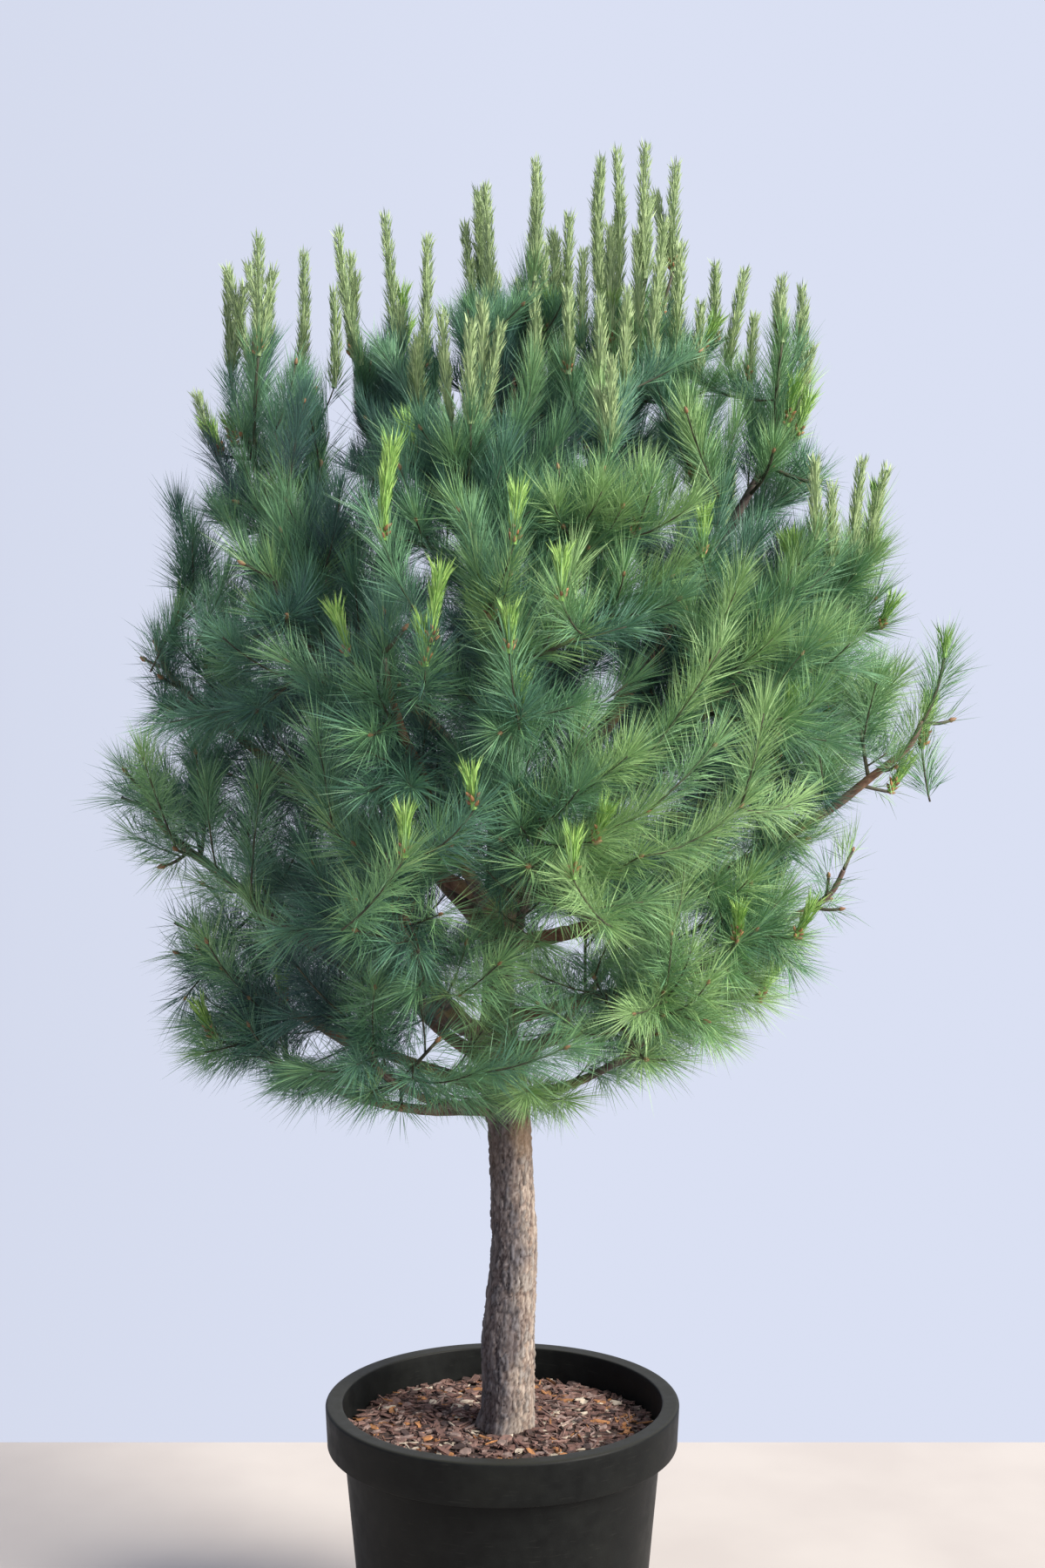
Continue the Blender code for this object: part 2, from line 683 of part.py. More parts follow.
def twig_body(name, shoot, needles, rng, collection):
    """A twig whose outer part bristles with needles, and ends in a needle or in its first candle."""
    way = (shoot.end - shoot.start).normalized()
    length = (shoot.end - shoot.start).length
    needle = NEEDLE_LENGTH * rng.uniform(*NEEDLE_SPREAD)
    stations = []
    for share in (0.0, *BRUSH_SHARES):
        radius = SHOOT_RADIUS + (SHOOT_TIP_RADIUS - SHOOT_RADIUS) * share
        stations.append((shoot.start + way * length * share, way, radius))
    if shoot.candles:
        stations[-1:] = candle_stations(shoot.end, shoot.candles[0])
    else:
        stations.append((shoot.end + way * needle * TIP_NEEDLE, way, NEEDLE_POINT))
    bm = bmesh.new()
    bands = join_rings(bm, add_rings(bm, stations, 3))
    line = (shoot.start, way)
    needles.stand(bm, split_quads(bm, bands[1]), line, needle, NEEDLE_LEAN, NEEDLE_TURN)
    high = split_quads(bm, bands[3 if shoot.candles else 2])[::2]
    if shoot.candles:
        rise = shoot.candles[0].normalized()
        needles.stand(bm, high, (shoot.end, rise), CANDLE_NEEDLE, CANDLE_LEAN, 0)
    else:
        needles.stand(bm, high, line, needle * TOP_NEEDLE, NEEDLE_TOP_LEAN, NEEDLE_TURN)
    return object_from(bm, name, None, collection)


def candle_stations(foot, candle):
    rise = candle.normalized()
    return [(foot + candle * share, rise, CANDLE_RADIUS * width) for share, width in CANDLE_STATIONS]


def candle_body(name, foot, candle, collection):
    """A further candle from the same tip."""
    rise = candle.normalized()
    bm = bmesh.new()
    join_rings(bm, add_rings(bm, [(foot, rise, SHOOT_TIP_RADIUS), *candle_stations(foot, candle)], 3))
    return object_from(bm, name, None, collection)


def keep_largest_shell(mesh):
    """Drops loose scraps and the inner shells of sealed hollows."""
    bm = bmesh.new()
    bm.from_mesh(mesh)
    unseen = set(bm.faces)
    shells = []
    while unseen:
        front = [unseen.pop()]
        shell = []
        while front:
            face = front.pop()
            shell.append(face)
            for edge in face.edges:
                for neighbour in edge.link_faces:
                    if neighbour in unseen:
                        unseen.remove(neighbour)
                        front.append(neighbour)
        shells.append(shell)
    shells.sort(key=len)
    spare = [face for shell in shells[:-1] for face in shell]
    if spare:
        bmesh.ops.delete(bm, geom=spare, context="FACES")
        loose = [vert for vert in bm.verts if not vert.link_faces]
        bmesh.ops.delete(bm, geom=loose, context="VERTS")
    bmesh.ops.triangulate(bm, faces=bm.faces)
    bm.to_mesh(mesh)
    bm.free()


def join_mass(stem, twigs):
    """One Boolean union of the stem with every twig of its collection, applied."""
    union = stem.modifiers.new("join_twigs", "BOOLEAN")
    union.operation = "UNION"
    union.operand_type = "COLLECTION"
    union.collection = twigs
    union.solver = "EXACT"
    graph = bpy.context.evaluated_depsgraph_get()
    joined = bpy.data.meshes.new_from_object(stem.evaluated_get(graph))
    stem.modifiers.clear()
    stem.data = joined
    for twig in list(twigs.objects):
        bpy.data.objects.remove(twig, do_unlink=True)
    bpy.data.collections.remove(twigs)
    keep_largest_shell(stem.data)


def build_needles(tuft, index, space, spread, trunk_cutter, finish):
    """One mass of needles, as a single solid."""
    points, direction = stem_points(tuft)
    bm = bmesh.new()
    ways = [direction]
    ways += [(after - before).normalized() for before, after in zip(points, points[2:])]
    ways.append((points[-1] - points[-2]).normalized())
    radii = np.linspace(STEM_RADIUS, STEM_TIP_RADIUS, len(points))
    join_rings(bm, add_rings(bm, list(zip(points, ways, radii)), STEM_SIDES))
    stem = object_from(bm, "needles_" + tuft.name, finish)
    twigs = bpy.data.collections.new("twigs_" + tuft.name)
    bpy.context.scene.collection.children.link(twigs)
    rng = random.Random(SEED * 2000 + index)
    shoots = plan_shoots(tuft, index, space, spread)
    needles = Needles(index, space, shoots)
    for number, shoot in enumerate(shoots):
        name = f"twig_{tuft.name}_{number}"
        twig_body(name, shoot, needles, rng, twigs)
        for twin, candle in enumerate(shoot.candles[1:]):
            candle_body(f"{name}_candle_{twin}", shoot.end, candle, twigs)
    join_mass(stem, twigs)
    if tuft.foot and not tuft.weight:
        cut(stem, trunk_cutter)
    return stem


def main():
    clear_scene()
    build_pot()
    build_soil()
    build_trunk()
    clearance = GAP / math.cos(math.pi / TRUNK_SIDES)
    trunk_cutter = make_guide(trunk_body("trunk_cutter", clearance))
    bough_bark = material("bough_bark", BOUGH_BARK, 0.9)
    needle_green = material("needle_green", NEEDLE_GREEN, 0.5)
    space = Space(TUFTS)
    spread = []
    for index, tuft in enumerate(TUFTS):
        if tuft.weight:
            build_bough(tuft, trunk_cutter, bough_bark)
        build_needles(tuft, index, space, spread, trunk_cutter, needle_green)


main()
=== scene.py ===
import math
import random
from collections import namedtuple
from functools import partial

import bmesh
import bpy
import numpy as np
from mathutils import Matrix, Vector


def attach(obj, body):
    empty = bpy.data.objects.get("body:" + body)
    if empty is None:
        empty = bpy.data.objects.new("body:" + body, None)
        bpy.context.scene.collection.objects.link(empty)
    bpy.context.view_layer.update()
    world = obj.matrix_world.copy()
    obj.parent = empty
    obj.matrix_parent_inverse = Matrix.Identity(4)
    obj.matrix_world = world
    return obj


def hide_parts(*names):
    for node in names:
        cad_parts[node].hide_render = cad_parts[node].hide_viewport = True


# Looks of a young italian stone pine in a black nursery pot. Sizes are in metres.

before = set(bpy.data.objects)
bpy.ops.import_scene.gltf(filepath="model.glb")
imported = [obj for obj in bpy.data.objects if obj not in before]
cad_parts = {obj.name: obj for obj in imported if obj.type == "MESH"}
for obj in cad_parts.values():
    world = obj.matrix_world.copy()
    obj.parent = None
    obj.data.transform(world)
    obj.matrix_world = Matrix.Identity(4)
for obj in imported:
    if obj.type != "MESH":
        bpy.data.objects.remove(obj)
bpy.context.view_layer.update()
GAP = 0.0003
UP = Vector((0.0, 0.0, 1.0))
NEARLY_UPRIGHT = 0.05
TINY = 1e-12

# Pot
POT_HEIGHT = 0.500
POT_RIM_RADIUS = 0.300
POT_RIM_WALL = 0.004
POT_RIM_TAPER = 0.003
POT_RIM_DEPTH = 0.070
POT_NECK_RADIUS = 0.276
POT_FOOT_RADIUS = 0.228
POT_FOOT_ROUND = 0.010
POT_WALL = 0.005
POT_FLOOR = 0.006
POT_SIDES = 180
POT_EDGE_RADIUS = 0.0019
POT_WAVES = 0.0009
DRAIN_HOLES = 6
DRAIN_HOLE_RADIUS = 0.010
DRAIN_RING_RADIUS = 0.185

# Soil, and the chips of bark on it
SOIL_HEIGHT = 0.450
SOIL_DROP = 0.006
SOIL_SIDES = 160
SOIL_STEP = 0.004
SOIL_CLEAR = 0.0012
SOIL_WAVES = 0.009
SOIL_GRAINS = 0.003
CHIPS = 2300
SHREDS = 0.45
CHIP_REACH = (0.050, 0.262)
CHIP_FARTHEST = 0.268
CHIP_LIFT = 0.0055
CHIP_OUTLINE = ((-1, -0.7), (0.1, -1), (1, -0.5), (0.9, 0.6), (-0.2, 1), (-1, 0.5))
CHIP_SHARES = (0.30, 0.24, 0.16, 0.08, 0.16, 0.06)
CHIP_COLOURS = (
    (0.150, 0.078, 0.064),
    (0.215, 0.125, 0.105),
    (0.062, 0.036, 0.032),
    (0.400, 0.180, 0.070),
    (0.270, 0.190, 0.168),
    (0.520, 0.440, 0.350),
)

# The source's rule for the trunk, the boughs and the twigs, with the same names and values
TRUNK_FOOT = SOIL_HEIGHT + GAP
TRUNK_STATIONS = (
    (0.000, 0.001, 0.0480),
    (0.020, 0.008, 0.0435),
    (0.075, 0.010, 0.0425),
    (0.135, 0.010, 0.0445),
    (0.190, 0.011, 0.0430),
    (0.250, 0.017, 0.0405),
    (0.310, 0.020, 0.0390),
    (0.445, 0.015, 0.0355),
    (0.520, 0.011, 0.0355),
    (0.570, 0.005, 0.0375),
    (0.640, -0.006, 0.0335),
    (0.700, -0.008, 0.0275),
    (0.870, -0.006, 0.0245),
    (1.100, 0.000, 0.0200),
    (1.350, 0.014, 0.0150),
    (1.520, 0.020, 0.0110),
    (1.660, 0.021, 0.0080),
)
TRUNK_BACKWARD_LEAN = 0.012
FLARE_LOBES = 4
FLARE_DEPTH = 0.10
FLARE_HEIGHT = 0.05
FLARE_TURN = 0.6

BOUGH_SEGMENTS = 4
BOUGH_FOOT_RADIUS = 0.0075
BOUGH_RADIUS_PER_METRE = 0.0080
BOUGH_TIP_SHARE = 0.55
BOUGH_END_SHARE = 1.10
BOUGH_SAMPLES = 201

Tuft = namedtuple("Tuft", "name azimuth reach height size foot bow weight candles")
TUFTS = (
    Tuft("lowest_left", 191, 0.400, 1.095, 0.130, 1.000, 0.10, 1.0, 0),
    Tuft("lowest_front_left", 237, 0.350, 1.110, 0.125, 1.010, 0.08, 1.0, 0),
    Tuft("lowest_right", 316, 0.330, 1.150, 0.140, 1.015, 0.06, 1.0, 0),
    Tuft("lower_left", 176, 0.500, 1.235, 0.155, 1.030, 0.06, 1.0, 0),
    Tuft("lower_back_left", 128, 0.470, 1.270, 0.200, 1.060, 0.06, 1.2, 0),
    Tuft("lower_back_right", 61, 0.470, 1.240, 0.200, 1.050, 0.06, 1.2, 0),
    Tuft("lower_right", 338, 0.400, 1.280, 0.155, 1.085, 0.05, 1.0, 0),
    Tuft("lower_front_left", 252, 0.500, 1.400, 0.150, 1.095, 0.08, 1.5, 1),
    Tuft("left_limb", 189, 0.570, 1.480, 0.145, 1.110, 0.05, 1.2, 0),
    Tuft("lower_right_tip", 358, 0.555, 1.360, 0.120, 1.145, 0.05, 0.9, 1),
    Tuft("lower_front", 277, 0.470, 1.450, 0.150, 1.210, 0.05, 1.0, 1),
    Tuft("right_tip", 352, 0.680, 1.610, 0.115, 1.270, 0.08, 1.0, 2),
    Tuft("back_left", 136, 0.540, 1.760, 0.210, 1.280, 0.05, 1.2, 3),
    Tuft("back_right", 49, 0.550, 1.780, 0.210, 1.300, 0.05, 1.2, 3),
    Tuft("front_left", 253, 0.530, 1.680, 0.145, 1.315, 0.05, 1.0, 1),
    Tuft("right_outer", 8, 0.510, 1.630, 0.155, 1.350, 0.05, 1.0, 0),
    Tuft("left_tip", 184, 0.560, 1.730, 0.150, 1.340, 0.05, 1.0, 0),
    Tuft("right_front", 322, 0.460, 1.710, 0.155, 1.380, 0.05, 1.0, 1),
    Tuft("back_centre", 92, 0.560, 1.700, 0.210, 1.400, 0.05, 1.2, 1),
    Tuft("upper_right", 350, 0.450, 2.085, 0.165, 1.430, 0.05, 1.2, 4),
    Tuft("front_centre", 272, 0.500, 1.700, 0.140, 1.450, 0.05, 1.0, 1),
    Tuft("left_inner", 220, 0.430, 1.800, 0.160, 1.480, 0.05, 1.0, 1),
    Tuft("upper_far_left", 187, 0.410, 2.060, 0.170, 1.520, 0.06, 1.0, 4),
    Tuft("front_right", 287, 0.390, 1.870, 0.150, 1.560, 0.05, 1.0, 2),
    Tuft("upper_far_right", 5, 0.590, 1.840, 0.145, 1.520, 0.06, 1.0, 3),
    Tuft("upper_back", 85, 0.360, 2.130, 0.190, 1.640, 0.04, 1.0, 4),
    Tuft("upper_front", 259, 0.330, 1.960, 0.150, 1.670, 0.05, 1.0, 3),
    Tuft("top_left", 168, 0.210, 2.150, 0.150, 1.880, 0.05, 0.0, 3),
    Tuft("top_right", 356, 0.245, 2.230, 0.160, 1.930, 0.05, 0.0, 4),
    Tuft("top_centre", 45, 0.030, 2.235, 0.150, 0.000, 0.00, 0.0, 4),
)

CROWN_HEART = (0.0, 0.0, 1.55)
OUTER_REACH = 1.12
INNER_REACH = 1.60
SIDE_REACH = 1.42
CELL_MARGIN = 0.001
LIMB_CLEARANCE = 0.004
REACH_STEP = 0.01
SEED = 20
STEM_RADIUS = 0.0065
STEM_TIP_RADIUS = 0.0048
STEM_RISE = 0.45
STEM_LIFT = 1.2
STEM_BARE = 0.10
SIDE_SHOOTS = 6.6
SIDE_SHOOTS_SIZE = 0.150
SIDE_SHOOTS_GROWTH = 1.2
TRIES = 14
LONGEST_SHOOT = 0.220
SHORTEST_SHOOT = 0.050
SHOOT_FORWARD = (0.1, 0.8)
SHOOT_CLIMB = (-0.1, 0.5)
BRUSH_HEART = 0.8
SHOOT_RADIUS = 0.0036
SHOOT_TIP_RADIUS = 0.0026
GOLDEN_ANGLE = math.radians(137.5)
NEEDLE_LENGTH = 0.120
NEEDLE_SPREAD = (0.85, 1.05)
TIP_NEEDLE = 0.45
LONGEST_TIP = NEEDLE_LENGTH * TIP_NEEDLE * NEEDLE_SPREAD[1]
CANDLE_STRETCH = 0.45
CANDLE_FAN = math.radians(50)
CANDLE_FIRST = 0.3
CANDLE_TURN = 0.3
CANDLE_TILT = (0.02, 0.08)
CANDLE_HEIGHTS = (0.80, 1.0)
CANDLES_TOGETHER = (1, 2, 2)
TWIN_SPLAY = math.radians(11)
TWIN_TURN = (0.6, 1.1)
TWIN_SHORTER = 0.25
CANDLE_ROOM = 1.10
CANDLE_LONGEST = 0.255
CANDLE_SHORTEST = 0.070
CANDLE_GROWTH = 0.32
CANDLE_FROM_HEIGHT = 1.500

# Bark of the trunk and the boughs, and how finely they are built
TRUNK_SIDES = 132
TRUNK_FINE_BELOW = 0.80
TRUNK_FINE_STEP = 0.0030
TRUNK_STEP = 0.008
TRUNK_SOFTENED = (-0.016, -0.008, 0.0, 0.008, 0.016)
COLLAR = 0.0045
COLLAR_REACH = 1.7
BARK_DEPTH = ((0, 0.5, 0.75, 1.0, 1.66), (0.0052, 0.0050, 0.0034, 0.0016, 0.0006))
# Turn about the trunk of the side that faces the light; the bark across from it is painted darker
# as shade
LIT_SIDE_TURN = math.radians(28)
PLATE_SIZE = (0.0095, 0.0095, 0.030)
FISSURE_SIZE = (0.0085, 0.0085, 0.060)
FLAKE_SIZE = (0.0035, 0.0035, 0.008)
BOUGH_SIDES = 14
BOUGH_STEP = 0.0065
BOUGH_SOFTENED = 7
BOUGH_WOBBLE = 0.010
BOUGH_BARK_SIZE = 0.5

# Finer twigs than the source has
FINE_SPACING = 0.030
FINE_FROM = 0.12
FINE_TO = 0.92
FINE_TRIES = 3
FINE_APART = 0.030
FINE_LENGTH = (0.06, 0.15)
FINE_SHORTEST = 0.030
FINE_ROOM = (-0.080, -0.010)
FINE_TURN = 1.5
FINE_FORWARD = (0.5, 1.3)
FINE_OUTWARD = 0.60
FINE_CLIMB = ((1.10, 0.0), (1.50, 0.45), (2.10, 1.5))
FINE_CLIMB_SPREAD = 0.3
FINE_RADIUS = 0.0018
FINE_TIP_RADIUS = 0.0012
TWIG_END_BACK = 0.030
TWIG_BOW = 0.06
TWIG_SAG = 0.14
TWIG_SIDES = 5
TWIG_POINTS = 6
INMOST_BELOW = 2.0
INMOST_REACH = 0.20

# How far from its foot a twig keeps clear of limbs, and from where boughs and stems bear needles
SHOOT_CLEAR = 0.010
STEM_CLEAR = 0.014
BOUGH_CLEAR = 0.030
BOUGH_TWIGS_FROM = 0.62
STEM_NEEDLES_FROM = 0.62

# The size of a spray's twig, and the share of it, at its foot, that is bare
THICK = 1.0
THIN = 0.65
NO_TWIG = 0.0
SHOOT_BARE = 0.30
FINE_BARE = 0.16
STEM_END_BARE = 0.05
SPOT_BARE = 0.10
PLAIN_BARE = 0.14

# Needles and twigs stay under the feet of their mass's candles
CEILING_ABOVE_FEET = 0.015
CEILING_SPREAD = (-0.05, 0.03)
NO_CEILING = 9.0
TWIGS_BELOW_CEILING = 0.045
CANDLE_FOOT_ROOM = 0.055
PLAIN_ROOM = 0.075

# Candles that finer twigs bear behind, by how many the source's mass has
MORE_CANDLES = (0, 2, 2, 3, 4)
MORE_CANDLES_BEHIND = 0.1
MORE_CANDLES_TILT = (0.02, 0.12)
MORE_CANDLES_HEIGHTS = (0.60, 0.95)

# Twigs in the emptiest places: least gap, tries, and the azimuth that gaps are seen from, if any
FILL_PASSES = (
    (0.120, 3000, None),
    (0.094, 3500, None),
    (0.050, 3500, 0),
    (0.060, 1500, 45),
    (0.060, 1500, 90),
    (0.060, 1500, 135),
)
FILL_HEIGHTS = (1.02, 2.34)
FILL_DEPTH = (0.50, 1.0)
FILL_ROOM = -0.035
FILL_SKY = 1.15
FILL_REACH = (0.045, 0.220)
FILL_CLEAR = 0.12
FILL_FAULT = 0.14
FILL_CLIMB = 0.25
FILL_CLIMB_HIGH = 0.35
FILL_HIGH = 1.5
FILL_OUTWARD = 0.1
TRUNK_HIDES = 0.14

# Where the foliage is thin: low down, beyond a distance to the left and to the right, over a
# span and up to a share
THIN_BELOW = 1.70
THIN_RANGE = 0.45
THIN_LEFT = (0.26, 0.22, 0.55)
THIN_RIGHT = (0.34, 0.30, 0.25)
FINE_THINNED = 0.5
FILL_THINNED = 0.7
NEEDLES_THINNED = 0.6

# How lit the needles are: from place to place, low, at the right, behind, high and deep inside
SHADE_PATCHES = (4.2, 4.2, 2.0)
SHADE_SPREAD = 0.9
LIGHT_MEAN = 0.61
LIGHT_PATCHES = 0.38
LIGHT_LOW = 0.16
LIGHT_LOW_BELOW = 1.60
LIGHT_RIGHT = 0.25
LIGHT_BACK = 0.14
LIGHT_HIGH = 0.08
LIGHT_DEEP = 2.5
DEEP_FROM = 0.07
DEEP_MOST = 0.25
DEEP_BELOW = 2.25

# Outline of the crown: height and distance from the pot's axis, on the left and on the right
LEFT_OUTLINE = (
    (0.98, 0.05), (1.04, 0.32), (1.10, 0.60), (1.17, 0.63), (1.23, 0.63), (1.32, 0.585),
    (1.41, 0.595), (1.50, 0.66), (1.59, 0.68), (1.68, 0.60), (1.77, 0.595), (1.85, 0.56),
    (1.94, 0.55), (2.03, 0.51), (2.12, 0.51), (2.21, 0.44), (2.29, 0.20), (2.37, 0.05),
)
RIGHT_OUTLINE = (
    (0.97, 0.05), (1.03, 0.20), (1.09, 0.345), (1.17, 0.43), (1.24, 0.51), (1.32, 0.57),
    (1.41, 0.575), (1.50, 0.63), (1.59, 0.70), (1.68, 0.75), (1.77, 0.68), (1.85, 0.66),
    (1.94, 0.64), (2.00, 0.59), (2.07, 0.51), (2.14, 0.47), (2.21, 0.45), (2.29, 0.38),
    (2.37, 0.24),
)
# Where the photograph shows sky through the crown, seen from the front at y = 0: centre x, z and
# half sizes
HOLLOWS = (
    (-0.276, 2.250, 0.026, 0.190),
    (-0.084, 2.199, 0.022, 0.045),
    (-0.084, 1.353, 0.040, 0.045),
    (-0.105, 1.120, 0.055, 0.070),
    (0.122, 1.294, 0.070, 0.028),
    (0.580, 1.425, 0.055, 0.042),
    (0.330, 1.320, 0.030, 0.025),
    (-0.330, 1.100, 0.050, 0.022),
)
FRONT_LIMIT = -0.680
OUTLINE_LEAST = 0.1
OUTLINE_DEPTH = 0.06
OUTLINE_BACK = 0.10
OUTLINE_FRONT = 0.07
OUTLINE_ROUGH = 0.11
OUTLINE_LOBES = 2.6
OUTLINE_TIERS = 7.5
FULLNESS_FALL = 2.2
FULLNESS_LEAST = 0.42

# Candles and young shoots that show in the photograph: foot x, y and z, then how far the tip is
# to the right and above. Spots that show at the edge are looser about the outline.
SPOT_APART = 0.036
SPOT_BEHIND = 0.2
SPOT_RISE = 0.03
SPOT_AWAY = 0.05
SPOT_SAG = 0.02
SPOT_LOOSE = 0.10
CANDLE_LOOSE = 0.20
CANDLE_SPOTS = (
    (-0.484, -0.05, 2.110, -0.022, 0.079),
    (-0.459, -0.05, 2.132, -0.015, 0.154),
    (-0.408, 0.00, 2.191, -0.056, 0.219),
    (-0.362, -0.05, 2.204, -0.017, 0.249),
    (-0.348, 0.05, 2.230, 0.007, 0.220),
    (-0.284, 0.00, 2.213, 0.000, 0.161),
    (-0.234, -0.05, 2.240, -0.036, 0.219),
    (-0.180, 0.00, 2.279, -0.018, 0.219),
    (-0.128, -0.15, 2.205, 0.008, 0.216),
    (-0.073, -0.30, 2.042, -0.016, 0.225),
    (-0.068, -0.28, 2.059, -0.005, 0.234),
    (-0.051, -0.36, 2.020, 0.024, 0.169),
    (-0.042, -0.34, 2.023, 0.043, 0.216),
    (-0.048, 0.05, 2.349, -0.016, 0.148),
    (-0.022, 0.00, 2.323, -0.007, 0.226),
    (0.000, 0.00, 2.323, -0.004, 0.263),
    (0.039, 0.10, 2.346, -0.003, 0.196),
    (0.052, 0.05, 2.379, 0.013, 0.193),
    (0.087, 0.10, 2.331, 0.006, 0.151),
    (0.125, 0.10, 2.331, -0.003, 0.113),
    (0.167, 0.00, 2.323, 0.000, 0.270),
    (0.193, 0.02, 2.357, 0.000, 0.256),
    (0.233, 0.00, 2.367, 0.007, 0.226),
    (0.262, -0.05, 2.312, 0.007, 0.165),
    (0.288, -0.05, 2.268, 0.022, 0.270),
    (0.322, 0.00, 2.279, 0.015, 0.205),
    (0.320, -0.10, 2.201, 0.006, 0.128),
    (0.363, 0.05, 2.290, 0.001, 0.141),
    (0.380, 0.00, 2.250, 0.028, 0.158),
    (0.408, -0.05, 2.211, 0.010, 0.108),
    (0.462, 0.00, 2.162, 0.010, 0.158),
    (0.477, -0.05, 2.110, 0.039, 0.159),
    (0.131, -0.10, 2.258, 0.003, 0.156),
    (0.176, -0.12, 2.253, 0.000, 0.194),
    (0.214, -0.15, 2.247, 0.003, 0.181),
    (0.243, -0.18, 2.199, 0.010, 0.179),
    (0.284, -0.10, 2.244, 0.009, 0.177),
    (0.190, -0.28, 2.152, 0.005, 0.153),
    (0.151, -0.30, 2.162, 0.000, 0.126),
    (0.106, -0.20, 2.195, 0.000, 0.130),
    (0.054, -0.15, 2.191, -0.003, 0.153),
    (0.136, 0.05, 2.349, 0.000, 0.215),
    (0.485, -0.30, 1.923, -0.003, 0.120),
    (0.514, -0.26, 1.887, 0.000, 0.121),
    (0.535, -0.22, 1.870, 0.004, 0.130),
    (0.562, -0.18, 1.881, 0.015, 0.180),
    (0.601, -0.12, 1.901, 0.026, 0.155),
    (0.433, -0.34, 1.892, -0.004, 0.105),
)
YOUNG_SPOTS = (
    (-0.159, -0.58, 1.891, 0.016, 0.144),
    (0.022, -0.62, 1.881, 0.007, 0.077),
    (0.087, -0.62, 1.804, 0.000, 0.065),
    (-0.091, -0.62, 1.745, 0.015, 0.106),
    (-0.098, -0.62, 1.715, -0.002, 0.065),
    (0.016, -0.64, 1.732, 0.000, 0.059),
    (-0.126, -0.62, 1.455, 0.000, 0.065),
    (0.103, -0.62, 1.425, 0.000, 0.065),
    (0.299, -0.40, 1.886, 0.003, 0.071),
    (0.699, -0.05, 1.604, 0.015, 0.087),
    (-0.031, -0.64, 1.521, -0.006, 0.053),
    (0.432, -0.25, 1.753, 0.010, 0.068),
)
# Ends of the side twigs that show singly at the crown's left edge, in the same order of values
EDGE_SPOTS = (
    (-0.543, -0.02, 1.995, 0.0, 0.0),
    (-0.506, -0.10, 1.948, 0.0, 0.0),
    (-0.508, 0.05, 1.932, 0.0, 0.0),
    (-0.527, -0.06, 1.889, 0.0, 0.0),
    (-0.499, -0.02, 1.852, 0.0, 0.0),
    (-0.535, -0.08, 1.816, 0.0, 0.0),
    (-0.445, -0.12, 1.971, 0.0, 0.0),
    (-0.565, 0.02, 1.770, 0.0, 0.0),
    (-0.468, -0.14, 1.789, 0.0, 0.0),
    (-0.442, -0.16, 1.872, 0.0, 0.0),
)

# Needles
NEEDLES_IN_ALL = 385000
WITH_TIP_PAIRS = 1.11
LEAST_PAIRS = 8
LEAST_PAIRS_LOOSE = 30
NEEDLE_PIECES = 5
NEEDLE_SIZES = (0.96, 1.04)
NEEDLE_WIDTH = 0.0012
NEEDLE_WIDTHS = (0.85, 1.1)
BLADE_LENGTH = (0.066, 0.104)
BLADE_MIDDLE = 0.42
BLADE_MIDDLE_BEND = 0.18
NEEDLE_TURN = 0.5
NEEDLE_TILT = 55
NEEDLE_TILT_FALL = 24
NEEDLE_TILT_SPREAD = 0.20
TIP_TILTS = (5, 38)
NEEDLE_LIFT = ((1.15, 1.7, 2.15), (-0.05, 0.22, 0.80))
NEEDLE_DROOP = 0.10
NEEDLE_BEND = 0.045
PAIR_APART = 0.09
PAIR_LENGTHS = (0.86, 1.0)
# Share along the twig and chance of needles one colour darker near its foot, for their age and as
# painted shade deep in the spray, and one paler near its tip, for their youth and as painted light
OLDER_AND_SHADED = (0.35, 0.75)
FRESHER_AND_LIT = (0.8, 0.4)

# Needles end, ragged, at the edge of the foliage, at the outline, at hollows and at the ceiling
SHORTER = (1.0, 0.85, 0.7, 0.55)
FULLNESS_EDGE = (0.08, 0.30)
OUTLINE_RAGGED = 0.050
SKY_EDGE = (0.70, 1.05)
CEILING_RAGGED = 0.018
HANG = 0.060
HANG_BELOW = 1.40
HANG_RANGE = 0.25

# Candles and young shoots
CANDLE_GROWN = 0.88
CANDLE_BEND = 0.035
CANDLE_NEEDLES = 2300
CANDLE_NEEDLE_WIDTH = 0.0020
YOUNG_GROWN = 0.9
YOUNG_NEEDLES = 3000
YOUNG_BELOW = 0.085
YOUNG_OUTSIDE = 0.42
YOUNG_SHARE = 0.30
YOUNG_HEIGHTS = (0.045, 0.080)
YOUNG_MARGIN = 0.03
YOUNG_REACH = 1.1

# Buds, and the catkins round the feet of new shoots
BUD_SHARES = (0.0, 0.18, 0.40, 0.62, 0.84, 1.0)
BUD_WIDTHS = (0.55, 0.95, 1.0, 0.85, 0.5, 0.12)
BUD_SCALES = 0.12
BUD_SIDES = 6
BUD_LENGTH = 0.015
BUD_WIDTH = 0.0042
BUDS_THICK = 0.75
BUDS_THIN = 0.35
CATKINS_SHARE = 0.12
CATKINS = (6, 11)
CATKIN_LENGTH = (0.008, 0.013)
CATKIN_WIDTH = 0.0028

# Colours of needles, darkest first, then those of candles, of which the last two are for young
# shoots, and of buds and catkins
NEEDLE_COLOURS = (
    (0.034, 0.080, 0.078),
    (0.056, 0.138, 0.112),
    (0.082, 0.202, 0.130),
    (0.120, 0.268, 0.138),
    (0.174, 0.340, 0.148),
    (0.262, 0.428, 0.168),
)
CANDLE_COLOURS = (
    (0.110, 0.176, 0.094),
    (0.195, 0.285, 0.130),
    (0.280, 0.380, 0.172),
    (0.370, 0.475, 0.225),
    (0.200, 0.375, 0.085),
    (0.310, 0.500, 0.125),
)
YOUNG_COLOUR = 4
BUD_COLOURS = (
    (0.230, 0.120, 0.060),
    (0.320, 0.190, 0.100),
    (0.340, 0.165, 0.070),
    (0.230, 0.110, 0.055),
)

